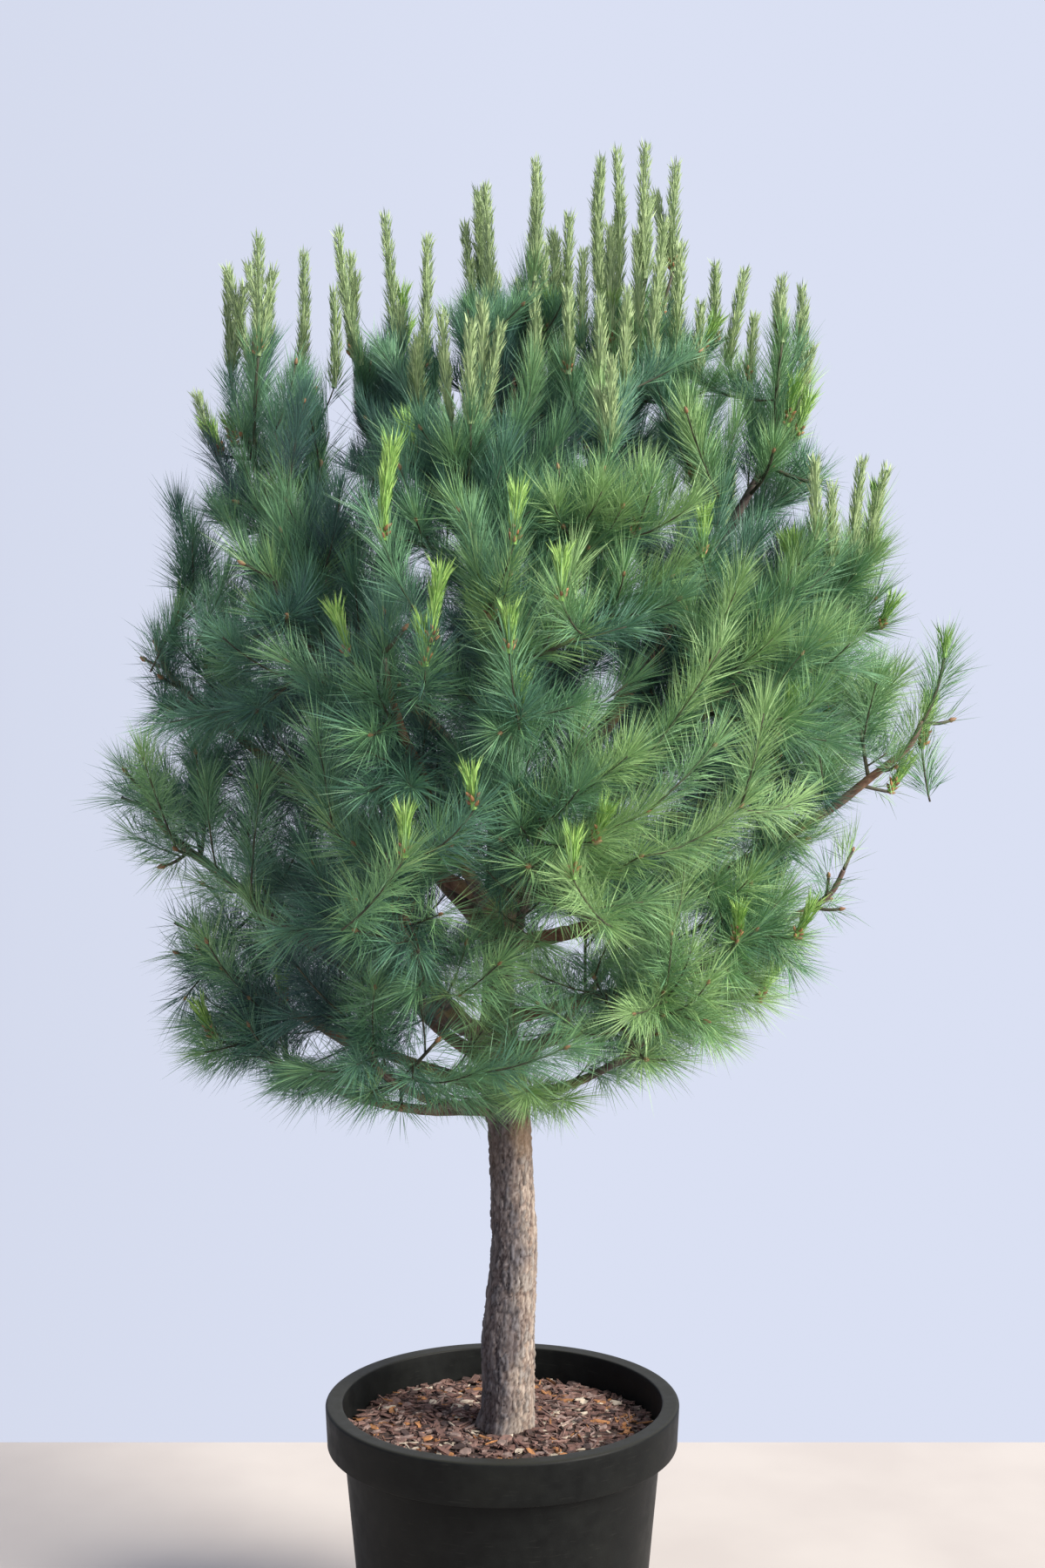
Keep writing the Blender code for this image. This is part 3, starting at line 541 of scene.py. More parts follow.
# Light of the sky from the left, at 0, to the right, at 1
SKY_COLOUR = (0.700, 0.745, 0.895)
SKY = ((0.0, 0.68), (0.25, 0.74), (0.37, 0.95), (0.50, 1.0), (1.0, 1.0))
KEY_PLACE = (6.6, -4.0, 6.2)
KEY_AIM = (0.0, 0.0, 1.4)
KEY_ANGLE = 0.50
KEY_STRENGTH = 7.0
KEY_COLOUR = (1.0, 0.95, 0.86)
FLOOR_CORNERS = ((-8.0, -8.0), (8.0, -8.0), (8.0, 1.14), (-8.0, 1.14))
FLOOR_COLOURS = ((0.48, 0.435, 0.405), (0.52, 0.475, 0.440))
CAMERA_PLACE = (0.034, -3.17, 1.60)
CAMERA_TILT = 89.0
CAMERA_LENS = 43.0
CAMERA_SENSOR = 36.0


def polar(azimuth, reach, height):
    turn = math.radians(azimuth)
    return Vector((reach * math.cos(turn), reach * math.sin(turn), height))


def square_to(direction):
    """Two directions square to this one and to each other."""
    side = direction.cross(UP)
    if side.length < NEARLY_UPRIGHT:
        side = direction.cross(Vector((0.0, 1.0, 0.0)))
    side.normalize()
    return side, side.cross(direction).normalized()


def square_at(direction, turn):
    """The direction square to this one, at a turn about it."""
    side, other = square_to(direction)
    return side * math.cos(turn) + other * math.sin(turn)


def share_of(part, whole):
    return min(max(part / whole, 0.0), 1.0)


def trunk_at(height):
    """Centre and radius of the trunk at this height above the pot's underside."""
    heights, shifts, radii = zip(*TRUNK_STATIONS)
    above = height - TRUNK_FOOT
    back = TRUNK_BACKWARD_LEAN * (above / heights[-1]) ** 2
    centre = Vector((float(np.interp(above, heights, shifts)), back, height))
    return centre, float(np.interp(above, heights, radii))


def middle_of(tuft):
    return polar(tuft.azimuth, tuft.reach, tuft.height)


def limb_curve(tuft):
    """Three control points of the curve from the trunk's heart to the middle of the mass."""
    middle = middle_of(tuft)
    if not tuft.foot:
        tip = trunk_at(TRUNK_FOOT + TRUNK_STATIONS[-1][0])[0]
        return tip, (tip + middle) / 2, middle
    foot = trunk_at(tuft.foot)[0]
    sag = tuft.bow * (middle - foot).length
    return foot, (foot + middle) / 2 - UP * 2 * sag, middle


def on_curve(curve, share):
    start, control, end = curve
    rest = 1 - share
    return start * rest * rest + control * 2 * rest * share + end * share * share


def along_curve(curve, share):
    start, control, end = curve
    return ((control - start) * (1 - share) + (end - control) * share).normalized()


def bough_end(tuft):
    """The curve's share at which the bough gives way to the stem of its mass."""
    if not tuft.weight:
        return 0.0
    curve = limb_curve(tuft)
    shares = np.linspace(0, 1, BOUGH_SAMPLES)
    gaps = [(on_curve(curve, share) - curve[2]).length for share in shares]
    near = [share for share, gap in zip(shares, gaps) if gap < tuft.size * BOUGH_END_SHARE]
    return float(near[0])


def bough_sizes(tuft):
    """Radius at the bough's foot and at its tip."""
    curve = limb_curve(tuft)
    length = (curve[2] - curve[0]).length
    foot = (BOUGH_FOOT_RADIUS + BOUGH_RADIUS_PER_METRE * length) * tuft.weight
    return foot, max(foot * BOUGH_TIP_SHARE, STEM_RADIUS)


def bough_stations(tuft):
    """Centre, direction and radius along the bough, from the trunk's heart to its tip."""
    curve = limb_curve(tuft)
    end = bough_end(tuft)
    foot_radius, tip_radius = bough_sizes(tuft)
    stations = []
    for index in range(BOUGH_SEGMENTS + 1):
        share = index / BOUGH_SEGMENTS
        radius = foot_radius + (tip_radius - foot_radius) * share
        stations.append((on_curve(curve, share * end), along_curve(curve, share * end), radius))
    return stations


def run_gaps(start, end, starts, spans):
    """Distance from one straight run to each of the others."""
    start = np.array(start)
    span = np.array(end) - start
    between = start - starts
    own_square = span @ span
    squares = (spans * spans).sum(axis=1)
    across = spans @ span
    lead = (spans * between).sum(axis=1)
    own_lead = between @ span
    spread = np.maximum(own_square * squares - across**2, TINY)
    own = np.clip((across * lead - own_lead * squares) / spread, 0, 1)
    other = np.clip((across * own + lead) / squares, 0, 1)
    own = np.clip((across * other - own_lead) / own_square, 0, 1)
    return np.linalg.norm(between + own[:, None] * span - other[:, None] * spans, axis=1)


def seen_from_front(points):
    """Where these points are seen from the front, as x and z in the plane through the trunk."""
    middle, front, eye = CAMERA_PLACE
    x, y, z = (np.asarray(points) - np.array(CAMERA_PLACE)).T
    return np.stack([middle - x * front / y, eye - z * front / y], axis=-1)


class Space:
    """Where needles may grow: each mass in its own cell and reach, all clear of every limb."""

    def __init__(self, tufts):
        self.middles = np.array([middle_of(tuft) for tuft in tufts])
        self.sizes = np.array([tuft.size for tuft in tufts])
        outward = self.middles - np.array(CROWN_HEART)
        self.outward = outward / np.linalg.norm(outward, axis=1)[:, None]
        trunk = [trunk_at(TRUNK_FOOT + above) for above, _, _ in TRUNK_STATIONS]
        limbs = [trunk]
        for tuft in tufts:
            if tuft.weight:
                limbs.append([(centre, radius) for centre, _, radius in bough_stations(tuft)])
        runs = [pair for limb in limbs for pair in zip(limb, limb[1:])]
        self.starts = np.array([start for (start, _), _ in runs])
        self.spans = np.array([end for _, (end, _) in runs]) - self.starts
        self.radii = np.array([radius for (_, radius), _ in runs])

    def in_cell(self, index, points):
        """True where a point is nearer to this mass than to any other, by power distance."""
        power = ((self.middles - points[:, None]) ** 2).sum(axis=2) - self.sizes**2
        apart = np.linalg.norm(self.middles - self.middles[index], axis=1)
        return (power - power[:, index, None] >= 2 * CELL_MARGIN * apart).all(axis=1)

    def reach_share(self, index, points):
        """How far these points lie from the mass's middle, where 1 is the edge of its reach."""
        away = np.asarray(points) - self.middles[index]
        out = away @ self.outward[index]
        along = np.multiply.outer(out, self.outward[index])
        sideways = np.linalg.norm(away - along, axis=-1) / SIDE_REACH
        out = np.where(out > 0, out / OUTER_REACH, out / INNER_REACH)
        return np.hypot(out, sideways) / self.sizes[index]

    def holds(self, index, points):
        return self.in_cell(index, points) & (self.reach_share(index, points) <= 1)

    def nearest(self, point):
        """The mass whose middle is nearest to this point."""
        return int(np.argmin(np.linalg.norm(self.middles - np.array(point), axis=1)))

    def fullness(self, points):
        """1 and over inside the masses and between close ones, 0 far from them all."""
        away = np.asarray(points)[:, None] - self.middles
        out = (away * self.outward).sum(axis=2)
        sideways = np.linalg.norm(away - out[..., None] * self.outward, axis=2) / SIDE_REACH
        out = np.where(out > 0, out / OUTER_REACH, out / INNER_REACH)
        shares = (out**2 + sideways**2) / self.sizes**2
        return np.exp(FULLNESS_FALL * (1 - shares)).sum(axis=1)

    def widest(self, x, y, z):
        """How far from the pot's axis the crown's outline is, towards x and y, at height z."""
        sides = (LEFT_OUTLINE, RIGHT_OUTLINE)
        left, right = (np.interp(z, *zip(*side), left=0.0, right=0.0) for side in sides)
        away = np.maximum(np.hypot(x, y), TINY)
        rightness = (1 + x / away) / 2
        widest = left + (right - left) * rightness
        depth = np.where(y > 0, OUTLINE_BACK, OUTLINE_DEPTH)
        widest = widest + depth * (1 - np.abs(2 * rightness - 1)) * (widest > OUTLINE_LEAST)
        widest = widest - OUTLINE_FRONT * np.clip(-y / away, 0, 1)
        around = [x / away * OUTLINE_LOBES, y / away * OUTLINE_LOBES, z * OUTLINE_TIERS]
        rough = soft_noise(np.stack(around, axis=-1) + 50.0, 87)
        return widest + OUTLINE_ROUGH * (0.13 - np.clip(1.6 * rough - 0.5, 0, 1))

    def inside_crown(self, points, room):
        """True where the crown's outline, let out by room, holds these points."""
        _, front, eye = CAMERA_PLACE
        x, y, z = np.asarray(points).T
        nearer = front / np.minimum(front - y, front)
        seen = eye + (z - eye) / nearer
        return (np.hypot(x, y) < self.widest(x, y, seen) + room) & (y > FRONT_LIMIT)

    def open_sky(self, points):
        """How far these points are from the nearest hollow, seen from the front: 1 is its edge."""
        x, z = seen_from_front(points).T
        shares = [np.hypot((x - cx) / rx, (z - cz) / rz) for cx, cz, rx, rz in HOLLOWS]
        return np.min(shares, axis=0)

    def clear_of_limbs(self, start, end, width):
        """True where a straight run from start to end stays clear of the trunk and the boughs."""
        gaps = run_gaps(start, end, self.starts, self.spans) - self.radii
        return bool((gaps > width + LIMB_CLEARANCE).all())


def stem_points(tuft):
    """The stem of a mass: it goes on from the limb that holds it and bends up past the middle."""
    curve = limb_curve(tuft)
    end = bough_end(tuft)
    direction = along_curve(curve, end) if tuft.foot else UP
    clear = 0.0 if tuft.foot and not tuft.weight else GAP
    entry = on_curve(curve, end) + direction * clear
    halfway = on_curve(curve, (end + 1) / 2)
    middle = middle_of(tuft)
    lift = (along_curve(curve, 1.0) + UP * STEM_LIFT).normalized()
    return [entry, halfway, middle, middle + lift * tuft.size * STEM_RISE]


def on_stem(points, share):
    lengths = [(b - a).length for a, b in zip(points, points[1:])]
    left = share * sum(lengths)
    for (start, end), length in zip(zip(points, points[1:]), lengths):
        if left <= length:
            return start.lerp(end, left / length), (end - start).normalized()
        left -= length
    return points[-1], (points[-1] - points[-2]).normalized()


def candle_length(tuft):
    grown = CANDLE_SHORTEST + CANDLE_GROWTH * (tuft.height - CANDLE_FROM_HEIGHT)
    return min(max(grown, CANDLE_SHORTEST), CANDLE_LONGEST)


def reach_inside(start, direction, longest, holds):
    """How far a straight run may go before holds, which tests points, says that it has left."""
    lengths = np.cumsum(np.full(round(longest / REACH_STEP) + 2, REACH_STEP))
    lengths = lengths[: 1 + int((lengths < longest).sum())]
    steps = np.outer(lengths.astype(np.float32), np.array(direction, np.float32))
    inside = holds((np.array(start, np.float32) + steps).astype(float))
    passed = len(inside) if inside.all() else int(np.argmin(inside))
    return float(lengths[passed - 1]) if passed else 0.0


def leaning(turn, tilt):
    aside = Vector((math.cos(turn), math.sin(turn), 0.0))
    return aside * math.sin(tilt) + UP * math.cos(tilt)


Shoot = namedtuple("Shoot", "start end candles")


def plan_candles(tuft, index, space, rng, points):
    """The shoots that carry upright candles: they fan upwards from the top of the stem."""
    shoots = []
    for number in range(tuft.candles):
        start, _ = on_stem(points, 1 - CANDLE_STRETCH * (number + 0.5) / tuft.candles)
        turn = number * GOLDEN_ANGLE + rng.uniform(-CANDLE_TURN, CANDLE_TURN)
        direction = leaning(turn, CANDLE_FAN * math.sqrt((number + CANDLE_FIRST) / tuft.candles))
        length = reach_inside(start, direction, LONGEST_SHOOT, partial(space.holds, index))
        end = start + direction * length
        if length < SHORTEST_SHOOT or not space.clear_of_limbs(start, end, SHOOT_RADIUS):
            continue
        candles = []
        for twin in range(rng.choice(CANDLES_TOGETHER)):
            side_turn = turn + twin * math.pi * rng.uniform(*TWIN_TURN)
            rise = leaning(side_turn, rng.uniform(*CANDLE_TILT) + TWIN_SPLAY * (twin > 0))
            shorter = 1 - TWIN_SHORTER * (twin > 0)
            tall = candle_length(tuft) * rng.uniform(*CANDLE_HEIGHTS) * shorter
            tall = reach_inside(end, rise, tall, partial(space.in_cell, index)) / CANDLE_ROOM
            if tall > CANDLE_SHORTEST / 2:
                candles.append(rise * tall)
        if candles:
            shoots.append(Shoot(start, end, candles))
    return shoots


def plan_shoots(tuft, index, space, spread):
    """The shoots of one mass, by a seeded rule. Of several tries at each side shoot, the one whose
    brush is farthest from every brush so far is kept, so that they spread through the crown."""
    rng = random.Random(SEED * 1000 + index)
    points = stem_points(tuft)
    shoots = plan_candles(tuft, index, space, rng, points)
    spread += [shoot.end for shoot in shoots]
    for _ in range(round(SIDE_SHOOTS * (tuft.size / SIDE_SHOOTS_SIZE) ** SIDE_SHOOTS_GROWTH)):
        best = None
        for _ in range(TRIES):
            start, stem_way = on_stem(points, rng.uniform(STEM_BARE, 1.0))
            outward = square_at(stem_way, rng.uniform(0, math.tau))
            forward = stem_way * rng.uniform(*SHOOT_FORWARD)
            direction = (outward + forward + UP * rng.uniform(*SHOOT_CLIMB)).normalized()
            reach = reach_inside(start, direction, LONGEST_SHOOT, partial(space.holds, index))
            end = start + direction * (reach - LONGEST_TIP)
            if reach < SHORTEST_SHOOT + LONGEST_TIP:
                continue
            clear_start = start + direction * STEM_RADIUS
            if not space.clear_of_limbs(clear_start, start + direction * reach, SHOOT_RADIUS):
                continue
            brush = np.array(start.lerp(end, BRUSH_HEART))
            lonely = np.linalg.norm(np.array(spread) - brush, axis=1).min() if spread else 1.0
            if best is None or lonely > best[0]:
                best = lonely, Shoot(start, end, [])
        if best:
            shoots.append(best[1])
            spread.append(best[1].start.lerp(best[1].end, BRUSH_HEART))
    return shoots


# What grows on from the source's shoots: one twig with its needles
Spray = namedtuple("Spray", "mass start control end bare shade needle size ends top loose")


def thinness(point):
    """How thin the foliage is here: 0 in the heart of the crown, and most low on the left."""
    x, _, z = point
    left, right = (
        most * share_of(outward - start, span)
        for outward, (start, span, most) in ((-x, THIN_LEFT), (x, THIN_RIGHT))
    )
    return share_of(THIN_BELOW - z, THIN_RANGE) * (left + right)


def plan_fine_twigs(space, runs, ceiling, spread, rng):
    """Side twigs of the runs, each the loneliest of a few tries, within the crown's own reach."""
    twigs = []
    for start, tip, clear in runs:
        span = tip - start
        way = span.normalized()
        first_turn = rng.uniform(0, math.tau)
        count = max(2, round(span.length / FINE_SPACING))
        for number in range(count):
            best = None
            thin = rng.random() < FINE_THINNED * thinness(start.lerp(tip, number / count))
            room = rng.uniform(*FINE_ROOM)

            def holds(points):
                inside = space.inside_crown(points, room) & (points[:, 2] < ceiling)
                return (space.fullness(points) > FULLNESS_LEAST) & inside

            for attempt in range(FINE_TRIES):
                share = FINE_FROM + (FINE_TO - FINE_FROM) * (number + rng.random()) / count
                stray = rng.uniform(-FINE_TURN, FINE_TURN) * (attempt > 0)
                aside = square_at(way, first_turn + number * GOLDEN_ANGLE + stray)
                root = start.lerp(tip, share)
                climb = float(np.interp(root.z, *zip(*FINE_CLIMB)))
                climb += rng.uniform(-FINE_CLIMB_SPREAD, FINE_CLIMB_SPREAD)
                outward = Vector((root.x, root.y, 0.0)).normalized() * FINE_OUTWARD
                forward = way * rng.uniform(*FINE_FORWARD)
                direction = (aside + forward + UP * climb + outward).normalized()
                length = reach_inside(root, direction, rng.uniform(*FINE_LENGTH), holds)
                if length < FINE_SHORTEST:
                    continue
                end = root + direction * length
                if not space.clear_of_limbs(root + direction * clear, end, FINE_RADIUS):
                    continue
                heart = np.array(root.lerp(end, BRUSH_HEART))
                inmost = heart[2] < INMOST_BELOW and math.hypot(heart[0], heart[1]) < INMOST_REACH
                if thin or inmost or space.open_sky(heart[None])[0] < 1.0:
                    continue
                lonely = np.linalg.norm(np.array(spread) - heart, axis=1).min()
                if lonely > FINE_APART and (best is None or lonely > best[0]):
                    best = lonely, root, end
            if best:
                twigs.append((best[1], best[2]))
                spread.append(best[1].lerp(best[2], BRUSH_HEART))
    return twigs


def gaps_between(heart, hearts, seen):
    """From one spray's heart to the others, in space, or as seen from azimuth seen, 0 in front."""
    if seen == 0:
        shown = hearts[(hearts[:, 1] < 0) | (np.abs(hearts[:, 0]) > TRUNK_HIDES)]
        return seen_from_front(shown) - seen_from_front(heart[None])
    gaps = hearts - heart
    if seen is None:
        return gaps
    across = math.cos(math.radians(seen)), math.sin(math.radians(seen))
    return np.stack([gaps[:, 0] * across[0] + gaps[:, 1] * across[1], gaps[:, 2]], axis=-1)


def plan_fillers(space, sprays, spread, rng):
    """Twigs towards the emptiest places within the outline, each from a good twig near by."""
    starts = np.array([point for spray in sprays for point in (spray.end, spray.control)])
    hearts = np.array(spread)
    made = []
    for apart, tries, seen in FILL_PASSES:
        for _ in range(tries):
            turn, height = rng.uniform(0, math.tau), rng.uniform(*FILL_HEIGHTS)
            share = rng.uniform(*FILL_DEPTH)
            reach = share * space.widest(math.cos(turn), math.sin(turn), height)
            heart = np.array(polar(math.degrees(turn), float(reach), height))
            gaps = np.linalg.norm(gaps_between(heart, hearts, seen), axis=1)
            if gaps.min() < apart or space.open_sky(heart[None])[0] < FILL_SKY:
                continue
            if not space.inside_crown(heart[None], FILL_ROOM)[0]:
                continue
            if rng.random() < FILL_THINNED * thinness(heart):
                continue
            away = heart - starts
            length = np.linalg.norm(away, axis=1)
            ways = away / np.maximum(length, TINY)[:, None]
            outward = unit(heart * np.array([1.0, 1.0, 0.0]))
            climb = FILL_CLIMB + FILL_CLIMB_HIGH * (height > FILL_HIGH)
            cost = length + FILL_FAULT * np.maximum(climb - ways[:, 2], 0)
            cost += FILL_FAULT * np.maximum(FILL_OUTWARD - ways @ outward, 0)
            cost += np.where(length < FILL_REACH[0], 1.0, 0.0)
            nearest = int(np.argmin(cost))
            if cost[nearest] > FILL_REACH[1]:
                continue
            start = Vector(starts[nearest])
            end = Vector(heart + away[nearest] * (1 / BRUSH_HEART - 1))
            if not space.clear_of_limbs(start.lerp(end, FILL_CLEAR), end, FINE_RADIUS):
                continue
            made.append((start, end))
            hearts = np.concatenate([hearts, heart[None]])
            starts = np.concatenate([starts, np.array([end])])
    return made


def plan_spots(spots, shoots, candles, apart):
    """Upright shoots at given places: each gets a twig from the best shoot end below its foot."""
    taken = [foot for foot, _ in candles]
    made = []
    for x, y, z, right, rise in spots:
        foot = Vector((x, y, z))
        near = [other for other in taken if math.hypot(other.x - x, other.z - z) < apart]
        if any(other.y < y + SPOT_BEHIND for other in near):
            continue
        taken.append(foot)
        starts = [end for shoot in shoots for end in (shoot.end, shoot.start.lerp(shoot.end, 0.5))]
        below = [end for end in starts if end.z < z - SPOT_RISE and (end - foot).length > SPOT_AWAY]
        start = min(below, key=lambda point: (point - foot).length)
        made.append((start, foot, Vector((right, 0.0, rise))))
    return made


def light_at(point, space):
    """How sunlit the needles are here, from about 0 in the shade to 1 in the sun."""
    x, y, z = point
    deep = float(space.widest(x, y, z)) - math.hypot(x, y)
    deep = min(max(deep - DEEP_FROM, 0.0), DEEP_MOST) * share_of(DEEP_BELOW - z, 0.2)
    place = np.array([[x, y, z]]) * np.array(SHADE_PATCHES)
    patch = float(soft_noise(place + 20.0, 61)[0]) - 0.5
    low = share_of(LIGHT_LOW_BELOW - z, 0.4) * share_of(x + 0.25, 0.3)
    light = LIGHT_MEAN + LIGHT_PATCHES * patch + LIGHT_LOW * low + LIGHT_RIGHT * x / 0.7
    return light - LIGHT_BACK * y / 0.6 - LIGHT_HIGH * (z - 1.5) / 0.8 - LIGHT_DEEP * deep


def bowed(start, end, rng):
    """The middle control point of a twig that dips and then turns up."""
    span = end - start
    aside = square_at(span.normalized(), rng.uniform(0, math.tau))
    sag = UP * span.length * rng.uniform(0.0, TWIG_SAG)
    return (start + end) / 2 + aside * span.length * TWIG_BOW - sag


def shade_for(start, end, space, rng):
    """The colour of a spray, as an index into the needle colours: painted light and shade by where
    its heart lies, and a random tone.
    """
    light = light_at(start.lerp(end, BRUSH_HEART), space)
    shade = light * (len(NEEDLE_COLOURS) - 1) + rng.gauss(0, SHADE_SPREAD)
    return int(min(max(round(shade), 0), len(NEEDLE_COLOURS) - 1))


def plan_mass(tuft, index, shoots, space, spread):
    """The sprays and the candles of one mass, on its shoots, its stem and its bough's end."""
    sprays = []
    candles = []
    rng = random.Random(SEED * 3000 + index)
    points = stem_points(tuft)
    needle = rng.uniform(*NEEDLE_SIZES)
    feet = [shoot.end.z for shoot in shoots if shoot.candles]
    top = sum(feet) / len(feet) + CEILING_ABOVE_FEET if feet else NO_CEILING
    ceiling = top - TWIGS_BELOW_CEILING

    def holds(points):
        return space.inside_crown(points, FINE_ROOM[1]) & (points[:, 2] < ceiling)

    def add(start, control, end, bare, shade, size, *rest):
        sprays.append(Spray(index, start, control, end, bare, shade, needle, size, *rest))

    for shoot in shoots:
        span = shoot.end - shoot.start
        way = span.normalized()
        inside = reach_inside(shoot.start, way, span.length - TWIG_END_BACK, holds)
        end = shoot.end if shoot.candles else shoot.start + way * max(inside, SHORTEST_SHOOT)
        control = bowed(shoot.start, end, rng)
        shade = shade_for(shoot.start, end, space, rng)
        if shoot.candles:
            rest = "candle", end.z + CANDLE_FOOT_ROOM, CANDLE_LOOSE
        else:
            rest = "bud", top + rng.uniform(*CEILING_SPREAD), 0.0
        add(shoot.start, control, end, SHOOT_BARE, shade, THICK, *rest)
        candles += [(shoot.end, candle) for candle in shoot.candles]
    runs = [(shoot.start, shoot.end, SHOOT_CLEAR) for shoot in shoots]
    runs.append((points[1], points[3], STEM_CLEAR))
    if tuft.weight:
        curve, end = limb_curve(tuft), bough_end(tuft)
        from_here = on_curve(curve, end * BOUGH_TWIGS_FROM)
        runs.append((from_here, on_curve(curve, end), BOUGH_CLEAR))
    twigs = plan_fine_twigs(space, runs, ceiling, spread, rng)
    twigs.sort(key=lambda twig: -twig[1].z)
    for number, (start, end) in enumerate(twigs):
        control = bowed(start, end, rng)
        shade = shade_for(start, end, space, rng)
        rest = "bud", top + rng.uniform(*CEILING_SPREAD), 0.0
        if number < MORE_CANDLES[tuft.candles] and end.y > MORE_CANDLES_BEHIND:
            rise = leaning(rng.uniform(0, math.tau), rng.uniform(*MORE_CANDLES_TILT))
            tall = candle_length(tuft) * rng.uniform(*MORE_CANDLES_HEIGHTS)
            candles.append((end, rise * tall))
            rest = "candle", end.z + CANDLE_FOOT_ROOM, CANDLE_LOOSE
        add(start, control, end, FINE_BARE, shade, THIN, *rest)
    foot, _ = on_stem(points, STEM_NEEDLES_FROM)
    shade = shade_for(foot, points[-1], space, rng)
    ends = "none" if tuft.candles else "bud"
    middle = (foot + points[-1]) / 2
    add(foot, middle, points[-1], STEM_END_BARE, shade, NO_TWIG, ends, top, 0.0)
    return sprays, candles


def plain_sprays(twigs, loose, space, rng):
    """A spray that ends in a bud on each of these twigs."""
    sprays = []
    for start, end in twigs:
        rest = shade_for(start, end, space, rng), 1.0, THIN, "bud", end.z + PLAIN_ROOM, loose
        control = bowed(start, end, rng)
        sprays.append(Spray(space.nearest(end), start, control, end, PLAIN_BARE, *rest))
    return sprays


def plan_crown(space):
    """Every spray of needles, every candle and every young shoot of the crown."""
    spread = []
    planned = [plan_shoots(tuft, index, space, spread) for index, tuft in enumerate(TUFTS)]
    for x, y, z, right, rise in CANDLE_SPOTS + YOUNG_SPOTS:
        spread += [Vector((x + right * share, y, z + rise * share)) for share in (0.4, 0.9)]
    sprays = []
    candles = []
    for index, (tuft, shoots) in enumerate(zip(TUFTS, planned)):
        own_sprays, own_candles = plan_mass(tuft, index, shoots, space, spread)
        sprays += own_sprays
        candles += own_candles
    young = plan_young(sprays, space)
    every = [shoot for shoots in planned for shoot in shoots]
    rng = random.Random(SEED * 3500)
    for spots, apart in ((CANDLE_SPOTS, SPOT_APART), (YOUNG_SPOTS, 0.0)):
        for start, foot, grown in plan_spots(spots, every, candles, apart):
            shade = shade_for(start, foot, space, rng)
            control = (start + foot) / 2 - UP * SPOT_SAG
            rest = shade, 1.0, THIN, "candle", foot.z + CANDLE_FOOT_ROOM, SPOT_LOOSE
            sprays.append(Spray(space.nearest(foot), start, control, foot, SPOT_BARE, *rest))
            if spots is CANDLE_SPOTS:
                candles.append((foot, grown / CANDLE_GROWN))
            else:
                young.append((foot, grown))
            spread.append(start.lerp(foot, BRUSH_HEART))
    sprays += plain_sprays(plan_fillers(space, sprays, spread, rng), 0.0, space, rng)
    edges = [(start, end) for start, end, _ in plan_spots(EDGE_SPOTS, every, candles, 0.0)]
    sprays += plain_sprays(edges, SPOT_LOOSE, space, random.Random(SEED * 3600))
    return sprays, candles, young


class Shape:
    """Corners and faces gathered for one piece, with a material number for each face."""

    def __init__(self):
        self.points = []
        self.faces = []
        self.kinds = []
        self.values = {}
        self.count = 0

    def add(self, points, *faces, kind=0, **values):
        points = np.asarray(points, float).reshape(-1, 3)
        self.points.append(points)
        for group in faces:
            self.faces.append(np.asarray(group, np.int64) + self.count)
            self.kinds.append(np.broadcast_to(np.asarray(kind, np.int32), len(group)))
        for name, value in values.items():
            self.values.setdefault(name, []).append(np.broadcast_to(value, len(points)))
        self.count += len(points)

    def make(self, name, materials, smooth=False):
        points = np.concatenate(self.points)
        sides = np.concatenate([np.full(len(faces), faces.shape[1]) for faces in self.faces])
        corners = np.concatenate([faces.ravel() for faces in self.faces])
        mesh = bpy.data.meshes.new(name)
        mesh.vertices.add(len(points))
        mesh.vertices.foreach_set("co", points.astype(np.float32).ravel())
        mesh.loops.add(len(corners))
        mesh.polygons.add(len(sides))
        starts = np.concatenate([[0], np.cumsum(sides)[:-1]])
        mesh.polygons.foreach_set("loop_start", starts.astype(np.int32))
        mesh.loops.foreach_set("vertex_index", corners.astype(np.int32))
        mesh.polygons.foreach_set("material_index", np.concatenate(self.kinds).astype(np.int32))
        mesh.polygons.foreach_set("use_smooth", np.full(len(sides), smooth))
        for made in materials:
            mesh.materials.append(made)
        for value_name, parts in self.values.items():
            layer = mesh.attributes.new(value_name, "FLOAT", "POINT")
            layer.data.foreach_set("value", np.concatenate(parts).astype(np.float32))
        mesh.update(calc_edges=True)
        obj = bpy.data.objects.new(name, mesh)
        bpy.context.scene.collection.objects.link(obj)
        return obj


def unit(vectors):
    return vectors / np.maximum(np.linalg.norm(vectors, axis=-1, keepdims=True), TINY)


def turned(side, other, turns):
    """Directions square to an axis, one for each turn about it."""
    return np.outer(np.cos(turns), side) + np.outer(np.sin(turns), other)


def turns_of(sides):
    return np.arange(sides) * math.tau / sides


def ring_quads(rows, sides):
    """The faces between rows of rings of corners."""
    index = np.arange(sides)
    following = (index + 1) % sides
    feet = np.arange(rows - 1)[:, None] * sides
    quads = [feet + index, feet + following, feet + sides + following, feet + sides + index]
    return np.stack(quads, axis=-1).reshape(-1, 4)


def ring_caps(rows, sides):
    """Triangles that close the first and the last ring with the two corners after the rings."""
    index = np.arange(sides)
    following = (index + 1) % sides
    last = (rows - 1) * sides
    foot = [following, index, np.full(sides, rows * sides)]
    tip = [last + index, last + following, np.full(sides, rows * sides + 1)]
    return np.concatenate([np.stack(foot, axis=1), np.stack(tip, axis=1)])


